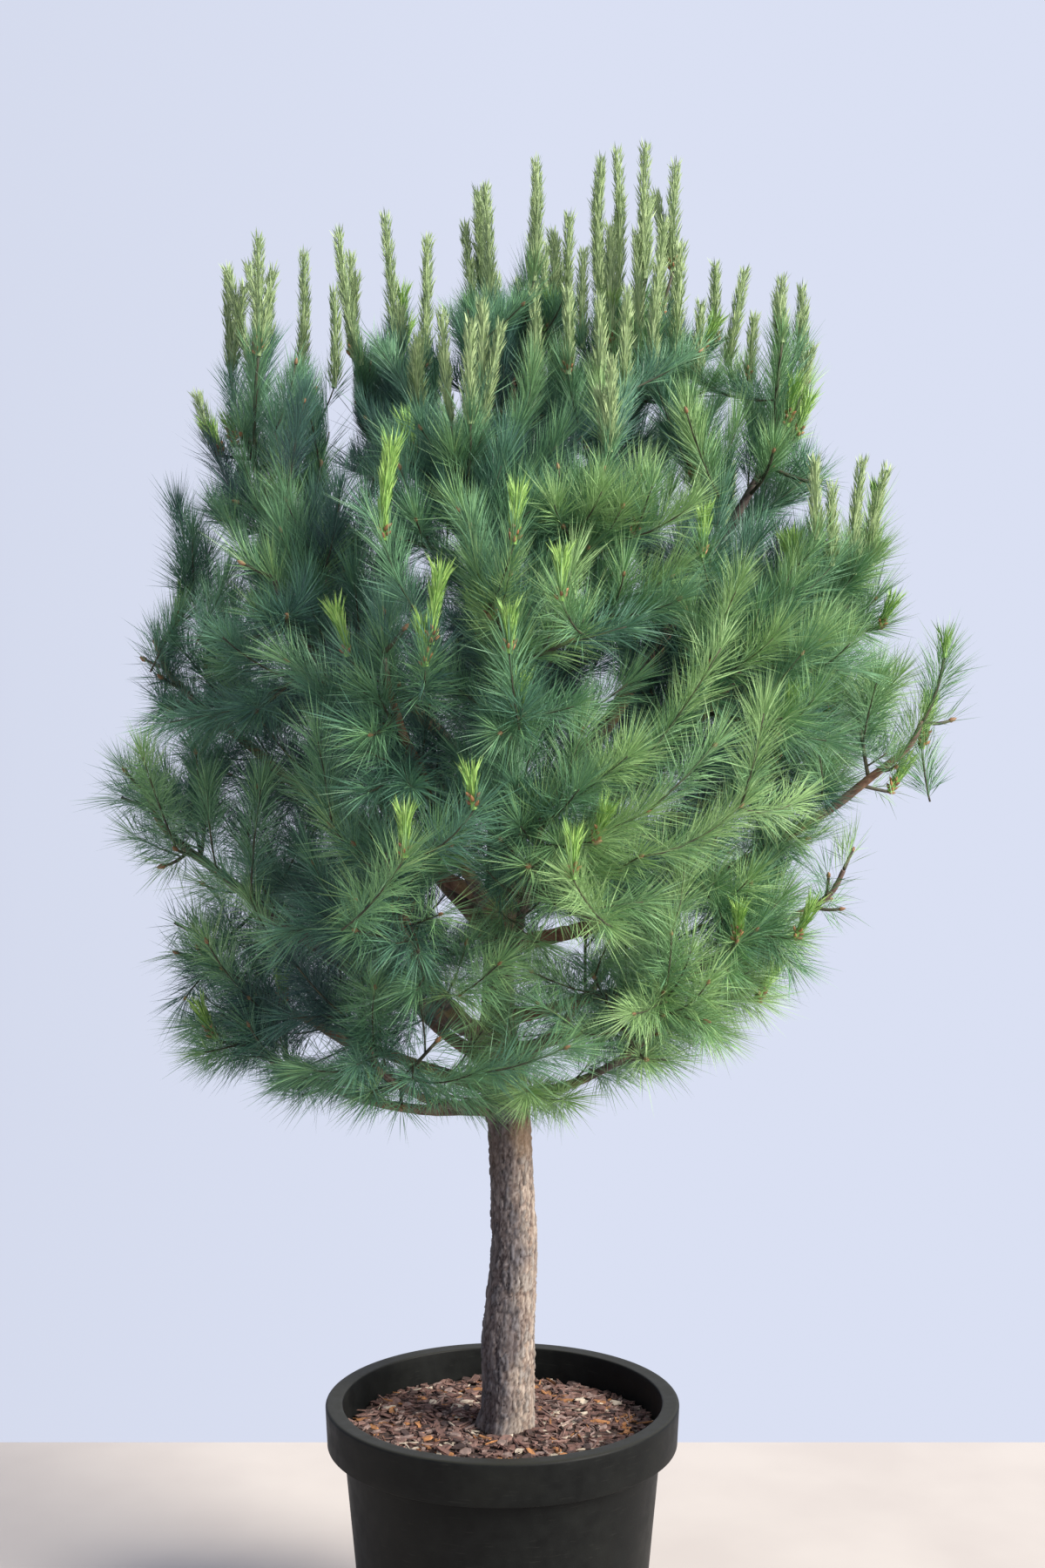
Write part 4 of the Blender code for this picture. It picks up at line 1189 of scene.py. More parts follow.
def tube(path, radii, sides):
    """Corners of the rings round a path of points, with no twist, and then of its two ends."""
    path = np.asarray(path, float)
    ways = unit(np.gradient(path, axis=0))
    side = np.array(square_to(Vector(ways[0]))[0])
    rings = []
    for centre, way, radius in zip(path, ways, np.asarray(radii, float)):
        side = unit(side - way * (side @ way))
        spokes = turned(side, np.cross(way, side), turns_of(sides))
        rings.append(centre + spokes * np.broadcast_to(radius, sides)[:, None])
    return np.concatenate([*rings, path[:1], path[-1:]])


def add_tube(shape, path, radii, sides, kind=0, **values):
    quads, caps = ring_quads(len(path), sides), ring_caps(len(path), sides)
    shape.add(tube(path, radii, sides), quads, caps, kind=kind, **values)


def curve_points(start, control, end, shares):
    start, control, end = (np.array(point) for point in (start, control, end))
    share = np.asarray(shares)[:, None]
    places = start * (1 - share) ** 2 + control * 2 * share * (1 - share) + end * share**2
    ways = unit((control - start) * (1 - share) + (end - control) * share)
    return places, ways


def blades(roots, ways, lengths, widths, bends, rng):
    """Corners and triangles of slim needles, each of two triangles that meet across its middle."""
    count = len(roots)
    across = unit(np.cross(ways, rng.normal(size=(count, 3))))
    half = across * (widths / 2)[:, None]
    middles = roots + ways * (lengths * BLADE_MIDDLE)[:, None] + bends * BLADE_MIDDLE_BEND
    tips = roots + ways * lengths[:, None] + bends
    points = np.stack([roots, middles + half, middles - half, tips], axis=1)
    base = np.arange(count)[:, None] * 4
    triangles = np.concatenate([base + [0, 1, 2], base + [2, 1, 3]])
    return points.reshape(-1, 3), triangles


def spray_needles(spray, pairs, space, rng):
    """Roots, ways, lengths and bends of the needles of one spray, two by two along its twig."""
    tip_pairs = max(4, pairs // 10)
    shares = (np.arange(pairs) + rng.random(pairs)) / pairs
    shares = np.concatenate([shares, np.full(tip_pairs, 1.0)])
    along = spray.bare + (1 - spray.bare) * shares
    places, ways = curve_points(spray.start, spray.control, spray.end, along)
    square = square_to((spray.end - spray.start).normalized())
    turns = np.arange(len(shares)) * GOLDEN_ANGLE + rng.normal(0, NEEDLE_TURN, len(shares))
    aside = turned(*(np.array(vector) for vector in square), turns)
    tilts = np.radians(NEEDLE_TILT - NEEDLE_TILT_FALL * shares**1.5)
    tilts = tilts + rng.normal(0, NEEDLE_TILT_SPREAD, len(shares))
    tilts[-tip_pairs:] = np.radians(rng.uniform(*TIP_TILTS, tip_pairs))
    ways = ways * np.cos(tilts)[:, None] + aside * np.sin(tilts)[:, None]
    ways[:, 2] += np.interp(places[:, 2], *NEEDLE_LIFT)
    ways = unit(ways)
    lengths = rng.uniform(*BLADE_LENGTH, len(shares)) * spray.needle * (0.84 + 0.16 * shares)
    apart = unit(np.cross(ways, rng.normal(size=ways.shape))) * PAIR_APART
    roots = np.repeat(places, 2, axis=0)
    both = np.stack([unit(ways + apart), unit(ways - apart)], axis=1).reshape(-1, 3)
    count = len(both)
    lengths = np.repeat(lengths, 2) * rng.uniform(*PAIR_LENGTHS, count)
    shares = np.repeat(shares, 2)
    droop = np.zeros_like(both)
    droop[:, 2] = -NEEDLE_DROOP * (1 - np.abs(both[:, 2]))
    bends = (droop + rng.normal(0, NEEDLE_BEND, both.shape)) * lengths[:, None]
    least = rng.uniform(*FULLNESS_EDGE, count)
    room = np.abs(rng.normal(0, OUTLINE_RAGGED, count))
    sky = rng.uniform(*SKY_EDGE, count)
    ragged = rng.normal(0, CEILING_RAGGED, count)
    hang = np.abs(rng.normal(0, HANG, count))
    keep = np.zeros(count, bool)
    scale = np.ones(count)
    for shorter in SHORTER:
        tips = roots + (both * lengths[:, None] + bends) * shorter
        reached = space.fullness(tips) > least * (spray.loose == 0)
        reached &= tips[:, 2] < spray.top + ragged
        lifted = tips.copy()
        lifted[:, 2] += hang * np.clip((HANG_BELOW - tips[:, 2]) / HANG_RANGE, 0, 1)
        reached &= space.inside_crown(lifted, room + spray.loose)
        reached &= space.open_sky(tips) > sky
        scale[reached & ~keep] = shorter
        keep |= reached
    lengths, bends = lengths * scale, bends * scale[:, None]
    return roots[keep], both[keep], lengths[keep], bends[keep], shares[keep]


def build_needles(sprays, space, materials):
    """The needles of every mass, in a few pieces that each stand for some of the masses."""
    total = sum((spray.end - spray.start).length * (1 - spray.bare) for spray in sprays)
    pairs_per_metre = NEEDLES_IN_ALL / 2 / total / WITH_TIP_PAIRS
    by_mass = [[spray for spray in sprays if spray.mass == index] for index in range(len(TUFTS))]
    for number in range(NEEDLE_PIECES):
        members = range(number, len(TUFTS), NEEDLE_PIECES)
        shape = Shape()
        for index in members:
            rng = np.random.default_rng(SEED * 4000 + index)
            for spray in by_mass[index]:
                length = (spray.end - spray.start).length * (1 - spray.bare)
                thinned = 1 - NEEDLES_THINNED * thinness(spray.end)
                least = LEAST_PAIRS_LOOSE if spray.loose else LEAST_PAIRS
                pairs = max(least, round(length * pairs_per_metre * thinned))
                needles = spray_needles(spray, pairs, space, rng)
                roots, ways, lengths, bends, shares = needles
                widths = NEEDLE_WIDTH * rng.uniform(*NEEDLE_WIDTHS, len(roots))
                points, triangles = blades(roots, ways, lengths, widths, bends, rng)
                # Needles near the foot are painted darker, for their age and as shade deep in the
                # spray; those near the tip paler, for their youth and as light at the spray's end
                older_and_shaded = (shares < OLDER_AND_SHADED[0]) & (rng.random(len(shares)) < OLDER_AND_SHADED[1])
                fresher_and_lit = (shares > FRESHER_AND_LIT[0]) & (rng.random(len(shares)) < FRESHER_AND_LIT[1])
                kinds = np.clip(spray.shade - older_and_shaded + fresher_and_lit, 0, len(NEEDLE_COLOURS) - 1)
                shape.add(points, triangles, kind=np.tile(kinds, 2))
        piece = shape.make(f"needle_sprays_{number}", materials)
        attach(piece, "root")
        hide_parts(*["needles_" + TUFTS[index].name for index in members])


def build_twigs(sprays, finish):
    """The twig of every spray but those on the stems."""
    shape = Shape()
    shares = np.linspace(0, 1, TWIG_POINTS)
    thickness = {THICK: (SHOOT_RADIUS, SHOOT_TIP_RADIUS), THIN: (FINE_RADIUS, FINE_TIP_RADIUS)}
    for spray in sprays:
        if spray.size == NO_TWIG:
            continue
        path, _ = curve_points(spray.start, spray.control, spray.end, shares)
        foot, tip = thickness[spray.size]
        add_tube(shape, path, foot + (tip - foot) * shares, TWIG_SIDES)
    piece = shape.make("fine_twigs", [finish], smooth=True)
    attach(piece, "root")


def add_candle(shape, foot, candle, young, rng):
    """An upright new shoot: a pale stem thick with short needles that point up along it."""
    foot = np.array(foot)
    candle = np.array(candle) * (YOUNG_GROWN if young else CANDLE_GROWN)
    tall = np.linalg.norm(candle)
    rise = candle / tall
    side, other = (np.array(vector) for vector in square_to(Vector(rise)))
    bend = (side * rng.normal(0, CANDLE_BEND) + other * rng.normal(0, CANDLE_BEND)) * tall
    shares = np.linspace(0, 1, 8)
    path = foot + np.outer(shares, candle) + np.outer(shares * (1 - shares) * 2, bend)
    add_tube(shape, path, 0.0050 - 0.0020 * shares, 6, YOUNG_COLOUR if young else 2)
    count = int(tall * (YOUNG_NEEDLES if young else CANDLE_NEEDLES))
    along = (np.arange(count) + rng.random(count)) / count
    turns = np.arange(count) * GOLDEN_ANGLE + rng.normal(0, 0.2, count)
    aside = turned(side, other, turns)
    roots = foot + np.outer(along, candle) + np.outer(along * (1 - along) * 2, bend)
    roots = roots + aside * 0.0035
    if young:
        tilts = np.radians(10 + 24 * along) + rng.normal(0, 0.10, count)
        lengths = rng.uniform(0.026, 0.042, count) * (0.6 + 0.4 * along)
        kinds = YOUNG_COLOUR + (rng.random(count) < 0.3 + 0.4 * along)
    else:
        tilts = np.radians(26) + rng.normal(0, 0.12, count)
        lengths = rng.uniform(0.015, 0.030, count) * (1.40 - 0.62 * along)
        sun = 0.75 + 0.35 * foot[0] / 0.7 + 0.4 * along
        kinds = np.round(sun * 2 + rng.normal(0, 0.8, count))
        kinds = np.clip(kinds, 0, YOUNG_COLOUR - 1).astype(int)
    ways = unit(np.outer(np.cos(tilts), rise) + aside * np.sin(tilts)[:, None])
    bends = -aside * 0.10 * lengths[:, None]
    widths = np.full(count, CANDLE_NEEDLE_WIDTH)
    points, triangles = blades(roots, ways, lengths, widths, bends, rng)
    shape.add(points, triangles, kind=np.tile(kinds, 2))


def build_candles(candles, young, materials):
    shape = Shape()
    rng = np.random.default_rng(SEED * 5000)
    for foot, candle in candles:
        add_candle(shape, foot, candle, candle.length < YOUNG_BELOW, rng)
    for foot, candle in young:
        add_candle(shape, foot, candle, True, rng)
    piece = shape.make("candles", materials)
    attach(piece, "root")


def plan_young(sprays, space):
    """Short new shoots at the tips of some outer sprays."""
    rng = random.Random(SEED * 6000)
    young = []
    for spray in sprays:
        outer = (spray.end - Vector(CROWN_HEART)).length > YOUNG_OUTSIDE
        if spray.ends != "bud" or spray.size != THICK or not outer or rng.random() > YOUNG_SHARE:
            continue
        rise = ((spray.end - spray.start).normalized() * 0.5 + UP).normalized()
        tall = rng.uniform(*YOUNG_HEIGHTS)
        tip = np.array(spray.end + rise * (tall + YOUNG_MARGIN))
        if space.reach_share(spray.mass, tip) < YOUNG_REACH:
            young.append((spray.end, rise * tall))
    return young


def add_bud(shape, foot, way, length, width, kind):
    """A pointed scaly bud or a catkin, from rings of corners pushed in and out."""
    path = np.array(foot) + np.outer(np.array(BUD_SHARES) * length, np.array(way))
    in_and_out = np.cos(np.arange(BUD_SIDES) * math.pi)
    scales = 1 + np.outer(in_and_out, BUD_SCALES * in_and_out)
    add_tube(shape, path, width * np.array(BUD_WIDTHS)[:, None] * scales, BUD_SIDES, kind)


def build_buds(sprays, young, candles, materials):
    """Buds at the ends of sprays, and catkins round the feet of new shoots."""
    shape = Shape()
    rng = random.Random(SEED * 7000)
    for spray in sprays:
        thick = spray.size == THICK
        if spray.ends != "bud" or rng.random() > (BUDS_THICK if thick else BUDS_THIN):
            continue
        way = (spray.end - spray.control).normalized()
        size = rng.uniform(0.8, 1.1) * (1.0 if thick else 0.75)
        foot = spray.end - way * 0.002
        kind = rng.choice((0, 0, 1))
        add_bud(shape, foot, way, BUD_LENGTH * size, BUD_WIDTH * size, kind)
    feet = young + [pair for pair in candles if rng.random() < CATKINS_SHARE]
    for foot, candle in feet:
        rise = candle.normalized()
        for number in range(rng.randint(*CATKINS)):
            aside = square_at(rise, number * GOLDEN_ANGLE)
            place = foot + rise * (0.003 + 0.0022 * number) + aside * 0.003
            way = (aside + rise * 0.9).normalized()
            length = rng.uniform(*CATKIN_LENGTH)
            add_bud(shape, place, way, length, CATKIN_WIDTH, rng.choice((2, 2, 3)))
    piece = shape.make("buds", materials, smooth=True)
    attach(piece, "root")


def hashed(cells, salt):
    """Repeatable numbers from 0 to 1 for cells of a grid."""
    value = cells[..., 0] * 127.1 + cells[..., 1] * 311.7 + cells[..., 2] * 74.7 + salt * 53.31
    value = np.sin(value) * 43758.5453
    return value - np.floor(value)


def soft_noise(points, salt):
    """Smooth noise from 0 to 1."""
    cell = np.floor(points)
    share = points - cell
    share = share * share * (3 - 2 * share)
    total = 0.0
    for corner in np.ndindex(2, 2, 2):
        weight = np.prod(np.where(np.array(corner) == 1, share, 1 - share), axis=-1)
        total = total + weight * hashed(cell + corner, salt)
    return total


def layered_noise(points, salt, layers=3):
    total = 0.0
    for layer in range(layers):
        total = total + soft_noise(points * 2.0**layer, salt + layer) / 2.0**layer
    return total / (2 - 0.5 ** (layers - 1))


def plates(points, salt):
    """Distance to the nearest plate's heart and to the second nearest, and the nearest's tone."""
    cell = np.floor(points)
    near = np.full(len(points), 9.0)
    second = np.full(len(points), 9.0)
    tone = np.zeros(len(points))
    for shift in np.ndindex(3, 3, 3):
        other = cell + np.array(shift) - 1
        jitter = np.stack([hashed(other, salt + axis) for axis in range(3)], axis=-1)
        away = np.linalg.norm(other + 0.15 + 0.7 * jitter - points, axis=-1)
        number = hashed(other, salt + 7)
        nearer = away < near
        second = np.where(nearer, near, np.minimum(second, away))
        tone = np.where(nearer, number, tone)
        near = np.where(nearer, away, near)
    return near, second, tone


def warped(places, size, salt):
    """Three layered noises, about 0, for each of these places."""
    noises = [layered_noise(places / size / 0.012, salt + 11 + axis) for axis in range(3)]
    return np.stack(noises, axis=-1) - 0.5


def bark_relief(places, size, salt):
    """Relief from 0, deep in a fissure, to 1, on top of a plate, and the tone of the plate."""
    warp = warped(places, size, salt)
    near, second, tone = plates(places / np.array(PLATE_SIZE) / size + warp * 1.5, salt)
    edge = np.clip((second - near) / 0.28, 0, 1)
    lines = layered_noise(places / np.array(FISSURE_SIZE) / size + warp * 0.9, salt + 41)
    fissure = np.clip(np.abs(lines - 0.5) / 0.055, 0, 1)
    flakes = layered_noise(places / np.array(FLAKE_SIZE) / size, salt + 31)
    relief = (0.55 * edge**0.6 + 0.45 * fissure) * (0.62 + 0.38 * tone) * (0.60 + 0.75 * flakes)
    return np.clip(relief, 0, 1), tone


def with_ends(values):
    """A value for each corner of the rings, and a middling one for the corner at either end."""
    return np.append(values.ravel(), [0.5, 0.5])


def build_trunk(finish):
    """The trunk with plates and fissures of bark, and a collar where each bough leaves."""
    heights, shifts, radii = (np.array(column) for column in zip(*TRUNK_STATIONS))
    lower = np.arange(0.0, TRUNK_FINE_BELOW, TRUNK_FINE_STEP)
    upper = np.arange(TRUNK_FINE_BELOW, heights[-1], TRUNK_STEP)
    above = np.concatenate([lower, upper, heights[-1:]])
    centre_x, radius = (
        np.mean([np.interp(above + step, heights, column) for step in TRUNK_SOFTENED], axis=0)
        for column in (shifts, radii)
    )
    centre_y = TRUNK_BACKWARD_LEAN * (above / heights[-1]) ** 2
    turns = turns_of(TRUNK_SIDES)
    flare = FLARE_DEPTH * np.exp(-above / FLARE_HEIGHT)
    reach = radius[:, None] * (1 + flare[:, None] * np.cos(FLARE_LOBES * turns + FLARE_TURN))
    spokes = np.stack([np.cos(turns), np.sin(turns), np.zeros(TRUNK_SIDES)], axis=-1)
    centres = np.stack([centre_x, centre_y, above + TRUNK_FOOT], axis=-1)

    def surface():
        return centres[:, None, :] + spokes[None] * reach[..., None]

    smooth = surface()
    for tuft in TUFTS:
        if not tuft.weight:
            continue
        foot_radius, _ = bough_sizes(tuft)
        way = np.array(along_curve(limb_curve(tuft), 0.0))
        centre, stem = trunk_at(tuft.foot)
        spot = np.array(centre) + way * stem / max(math.hypot(way[0], way[1]), 0.3)
        away = np.linalg.norm(smooth - spot, axis=-1)
        reach = reach + COLLAR * np.exp(-((away / (foot_radius * COLLAR_REACH)) ** 2))
    smooth = surface().reshape(-1, 3)
    relief, tone = (values.reshape(reach.shape) for values in bark_relief(smooth, 1.0, 3))
    depth = np.interp(above, *BARK_DEPTH)
    waves = layered_noise(smooth / 0.06, 91).reshape(reach.shape)
    waves = (waves - 0.5) * 0.004 * (depth / 0.005)[:, None]
    reach = reach + (relief - 0.55) * depth[:, None] + waves
    points = np.concatenate([surface().reshape(-1, 3), centres[:1], centres[-1:]])
    patchy = layered_noise(smooth / 0.05, 97).reshape(reach.shape)
    # How deep each corner lies in the painted shade on the trunk's side away from the light, with a
    # ragged edge
    painted_shade_side = 0.5 - 0.5 * np.cos(turns - LIT_SIDE_TURN)[None] + 0.7 * (patchy - 0.5)
    values = {"relief": with_ends(relief), "tone": with_ends(tone), "painted_shade_side": with_ends(painted_shade_side)}
    quads, caps = ring_quads(len(above), TRUNK_SIDES), ring_caps(len(above), TRUNK_SIDES)
    shape = Shape()
    shape.add(points, quads, caps, **values)
    piece = shape.make("trunk_bark", [finish], smooth=True)
    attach(piece, "root")
    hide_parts("trunk")


def limb_path(tuft):
    """Points along a bough and its mass's stem, their radii, and how far along each one is."""
    curve = limb_curve(tuft)
    stem = stem_points(tuft)
    if tuft.foot:
        path = [np.array(on_curve(curve, share)) for share in np.linspace(0.0, 1.0, 60)]
    else:
        path = [np.array(point) for point in stem[:3]]
    path += [np.array(stem[2].lerp(stem[3], share)) for share in (0.25, 0.5, 0.75, 1.0)]
    path = np.array(path)
    steps = np.concatenate([[0], np.cumsum(np.linalg.norm(np.diff(path, axis=0), axis=1))])
    fine = np.arange(0, steps[-1], BOUGH_STEP)
    path = np.stack([np.interp(fine, steps, path[:, axis]) for axis in range(3)], axis=-1)
    tip = STEM_TIP_RADIUS * 0.8
    if tuft.weight:
        foot_radius, tip_radius = bough_sizes(tuft)
        entry = (stem[0] - curve[0]).length
        radii = np.interp(fine, [0, entry, steps[-1]], [foot_radius, tip_radius, tip])
    else:
        foot_radius = STEM_RADIUS * (1.5 if tuft.foot else 1.2)
        radii = np.interp(fine, [0, steps[-1]], [foot_radius, tip])
    kernel = np.ones(BOUGH_SOFTENED) / BOUGH_SOFTENED
    padded = np.pad(path, ((BOUGH_SOFTENED // 2, BOUGH_SOFTENED // 2), (0, 0)), mode="edge")
    path = [np.convolve(padded[:, axis], kernel, mode="valid") for axis in range(3)]
    return np.stack(path, axis=-1), radii, fine


def build_boughs(finish):
    """Every bough with the stem that goes on from it, knobbly, with a collar at the trunk."""
    shape = Shape()
    for index, tuft in enumerate(TUFTS):
        path, radii, fine = limb_path(tuft)
        along = [[fine / 0.07, fine * 0 + axis, fine * 0 + index] for axis in range(3)]
        wobble = np.stack([soft_noise(np.stack(line, axis=-1), 5) for line in along], axis=-1)
        swing = np.sin(np.clip(fine / fine[-1], 0, 1) * math.pi)[:, None]
        path = path + (wobble - 0.5) * BOUGH_WOBBLE * swing
        inside = trunk_at(tuft.foot)[1] if tuft.foot else 0.0
        collar = 0.45 * np.exp(-np.maximum(fine - inside, 0) / 0.022) * bool(tuft.weight)
        radii = radii * (1 + collar)
        rings = tube(path, radii, BOUGH_SIDES)[:-2]
        relief, tone = (
            values.reshape(-1, BOUGH_SIDES) for values in bark_relief(rings, BOUGH_BARK_SIZE, 17)
        )
        knobs = soft_noise(rings / 0.011, 23).reshape(-1, BOUGH_SIDES)
        reach = radii[:, None] * (1 + 0.10 * (relief - 0.5) + 0.12 * (knobs - 0.5))
        values = {"relief": with_ends(relief), "tone": with_ends(tone)}
        add_tube(shape, path, reach, BOUGH_SIDES, **values)
    piece = shape.make("boughs_and_stems", [finish], smooth=True)
    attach(piece, "root")
    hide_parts(*["bough_" + tuft.name for tuft in TUFTS if tuft.weight])


def turned_points(profile, sides):
    """Rings of corners about the pot's axis, one for each radius and height."""
    turns = turns_of(sides)
    rings = [
        np.stack([radius * np.cos(turns), radius * np.sin(turns), np.full(sides, height)], axis=-1)
        for radius, height in profile
    ]
    return np.concatenate(rings)


def close_ends(obj, sides):
    """Flat faces in the first and the last ring of a turned shape, and all faces outwards."""
    bm = bmesh.new()
    bm.from_mesh(obj.data)
    bm.verts.ensure_lookup_table()
    last = len(bm.verts) - sides
    bm.faces.new([bm.verts[index] for index in reversed(range(sides))])
    bm.faces.new([bm.verts[last + index] for index in range(sides)])
    bmesh.ops.recalc_face_normals(bm, faces=bm.faces)
    bm.to_mesh(obj.data)
    bm.free()


def arc(centre, radius, first, last, steps):
    """Points (radius, height) round a corner, between two angles in degrees."""
    out, up = centre
    angles = np.radians(np.linspace(first, last, steps))
    return [(out + radius * math.cos(angle), up + radius * math.sin(angle)) for angle in angles]


def pot_radius(height):
    share = height / POT_HEIGHT
    return POT_FOOT_RADIUS + (POT_NECK_RADIUS - POT_FOOT_RADIUS) * share


def pot_profile():
    """Radius and height from the middle of the underside, round the rim, to that of the floor."""
    skirt_foot = POT_HEIGHT - POT_RIM_DEPTH
    under = POT_HEIGHT - POT_RIM_WALL
    skirt_inner = POT_RIM_RADIUS - POT_RIM_WALL
    rim_inner = POT_NECK_RADIUS - POT_WALL
    foot_inner = pot_radius(POT_FLOOR) - POT_WALL
    foot = POT_FOOT_RADIUS - POT_FOOT_ROUND
    edge = POT_EDGE_RADIUS
    profile = [(0.004, 0.0), (foot - 0.02, 0.0)]
    profile += arc((foot, POT_FOOT_ROUND), POT_FOOT_ROUND, -90, -4, 7)
    profile += [(pot_radius(height), height) for height in np.linspace(0.03, under - 0.004, 14)]
    profile += [(pot_radius(under) + 0.002, under - 0.0005), (skirt_inner - 0.002, under)]
    profile += [(skirt_inner - 0.0005, under - 0.002)]
    profile += [(skirt_inner - POT_RIM_TAPER, skirt_foot + edge)]
    middle = POT_RIM_RADIUS - POT_RIM_TAPER - POT_RIM_WALL / 2
    profile += arc((middle, skirt_foot + edge), edge, 180, 360, 6)
    for share in (0.8, 0.5, 0.2):
        height = POT_HEIGHT - 0.006 - (POT_RIM_DEPTH - 0.012) * share
        profile.append((POT_RIM_RADIUS - POT_RIM_TAPER * share, height))
    profile += arc((POT_RIM_RADIUS - 0.005, POT_HEIGHT - 0.005), 0.005, 0, 90, 7)
    profile += [(POT_RIM_RADIUS - 0.012, POT_HEIGHT - 0.0004)]
    profile += [(rim_inner + 0.008, POT_HEIGHT - 0.0008)]
    profile += arc((rim_inner + 0.003, POT_HEIGHT - 0.0038), 0.003, 90, 180, 5)
    for share in np.linspace(0.04, 0.985, 12):
        height = POT_HEIGHT + (POT_FLOOR - POT_HEIGHT) * share
        profile.append((rim_inner + (foot_inner - rim_inner) * share, height))
    return profile + [(foot_inner - 0.004, POT_FLOOR), (0.004, POT_FLOOR)]


def drain_cutter(number):
    """A hidden cylinder that cuts one drain hole through the floor."""
    bm = bmesh.new()
    place = polar(360 * (number + 0.5) / DRAIN_HOLES, DRAIN_RING_RADIUS, 0)
    bmesh.ops.create_cone(
        bm, cap_ends=True, segments=28, radius1=DRAIN_HOLE_RADIUS, radius2=DRAIN_HOLE_RADIUS,
        depth=POT_FLOOR * 3, matrix=Matrix.Translation(place),
    )
    mesh = bpy.data.meshes.new("drain_cutter")
    bm.to_mesh(mesh)
    bm.free()
    cutter = bpy.data.objects.new("drain_cutter", mesh)
    bpy.context.scene.collection.objects.link(cutter)
    return cutter


def build_pot(finish):
    """The moulded pot: a rounded foot, a tapering wall and a rim whose skirt hangs clear of it."""
    profile = pot_profile()
    points = turned_points(profile, POT_SIDES)
    waves = POT_WAVES * (layered_noise(points / 0.12, 61) - 0.5)
    outward = unit(points * np.array([1.0, 1.0, 0.0]))
    on_wall = np.hypot(points[:, 0], points[:, 1]) > 0.21
    points = points + outward * waves[:, None] * on_wall[:, None]
    shape = Shape()
    shape.add(points, ring_quads(len(profile), POT_SIDES))
    pot = shape.make("pot_moulding", [finish], smooth=True)
    close_ends(pot, POT_SIDES)
    cutters = [drain_cutter(number) for number in range(DRAIN_HOLES)]
    for cutter in cutters:
        boolean = pot.modifiers.new("drain", "BOOLEAN")
        boolean.operation = "DIFFERENCE"
        boolean.solver = "EXACT"
        boolean.object = cutter
    graph = bpy.context.evaluated_depsgraph_get()
    pierced = bpy.data.meshes.new_from_object(pot.evaluated_get(graph))
    pot.modifiers.clear()
    pot.data = pierced
    for cutter in cutters:
        bpy.data.objects.remove(cutter, do_unlink=True)
    pot.data.set_sharp_from_angle(angle=math.radians(40))
    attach(pot, "root")
    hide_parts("pot")


def soil_top(points):
    """Height of the soil's uneven top under these places."""
    reach = np.hypot(points[..., 0], points[..., 1])
    fall = SOIL_DROP * np.clip((reach - 0.08) / 0.19, 0, 1)
    flat = np.stack([points[..., 0], points[..., 1], points[..., 0] * 0], axis=-1)
    waves = layered_noise(flat / 0.045, 71) - 0.5
    return SOIL_HEIGHT - fall + waves * SOIL_WAVES


def build_soil(finish):
    """Soil that fills the pot, with an uneven top."""
    floor = POT_FLOOR + GAP
    edge_height = SOIL_HEIGHT - SOIL_DROP
    rim_inner = POT_NECK_RADIUS - POT_WALL
    foot_inner = pot_radius(POT_FLOOR) - POT_WALL

    def inner(height):
        share = (height - POT_FLOOR) / (POT_HEIGHT - POT_FLOOR)
        return foot_inner + (rim_inner - foot_inner) * share - SOIL_CLEAR

    below = edge_height - 0.012
    profile = [(0.002, floor), (inner(floor), floor), (inner(below), below)]
    profile += [(inner(edge_height), edge_height)]
    steps = np.arange(inner(edge_height) - SOIL_STEP, 0.006, -SOIL_STEP)
    profile += [(reach, SOIL_HEIGHT) for reach in steps]
    points = turned_points(profile, SOIL_SIDES)
    reach = np.hypot(points[:, 0], points[:, 1])
    on_top = points[:, 2] > edge_height - 0.006
    points[on_top, 2] = soil_top(points[on_top])
    grains = soft_noise(points / 0.006, 77) - 0.5
    loose = on_top & (reach < inner(edge_height) - 0.002)
    points[loose, 2] += SOIL_GRAINS * grains[loose]
    shape = Shape()
    shape.add(points, ring_quads(len(profile), SOIL_SIDES))
    piece = shape.make("soil_bed", [finish], smooth=True)
    close_ends(piece, SOIL_SIDES)
    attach(piece, "root")
    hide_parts("potting_soil")


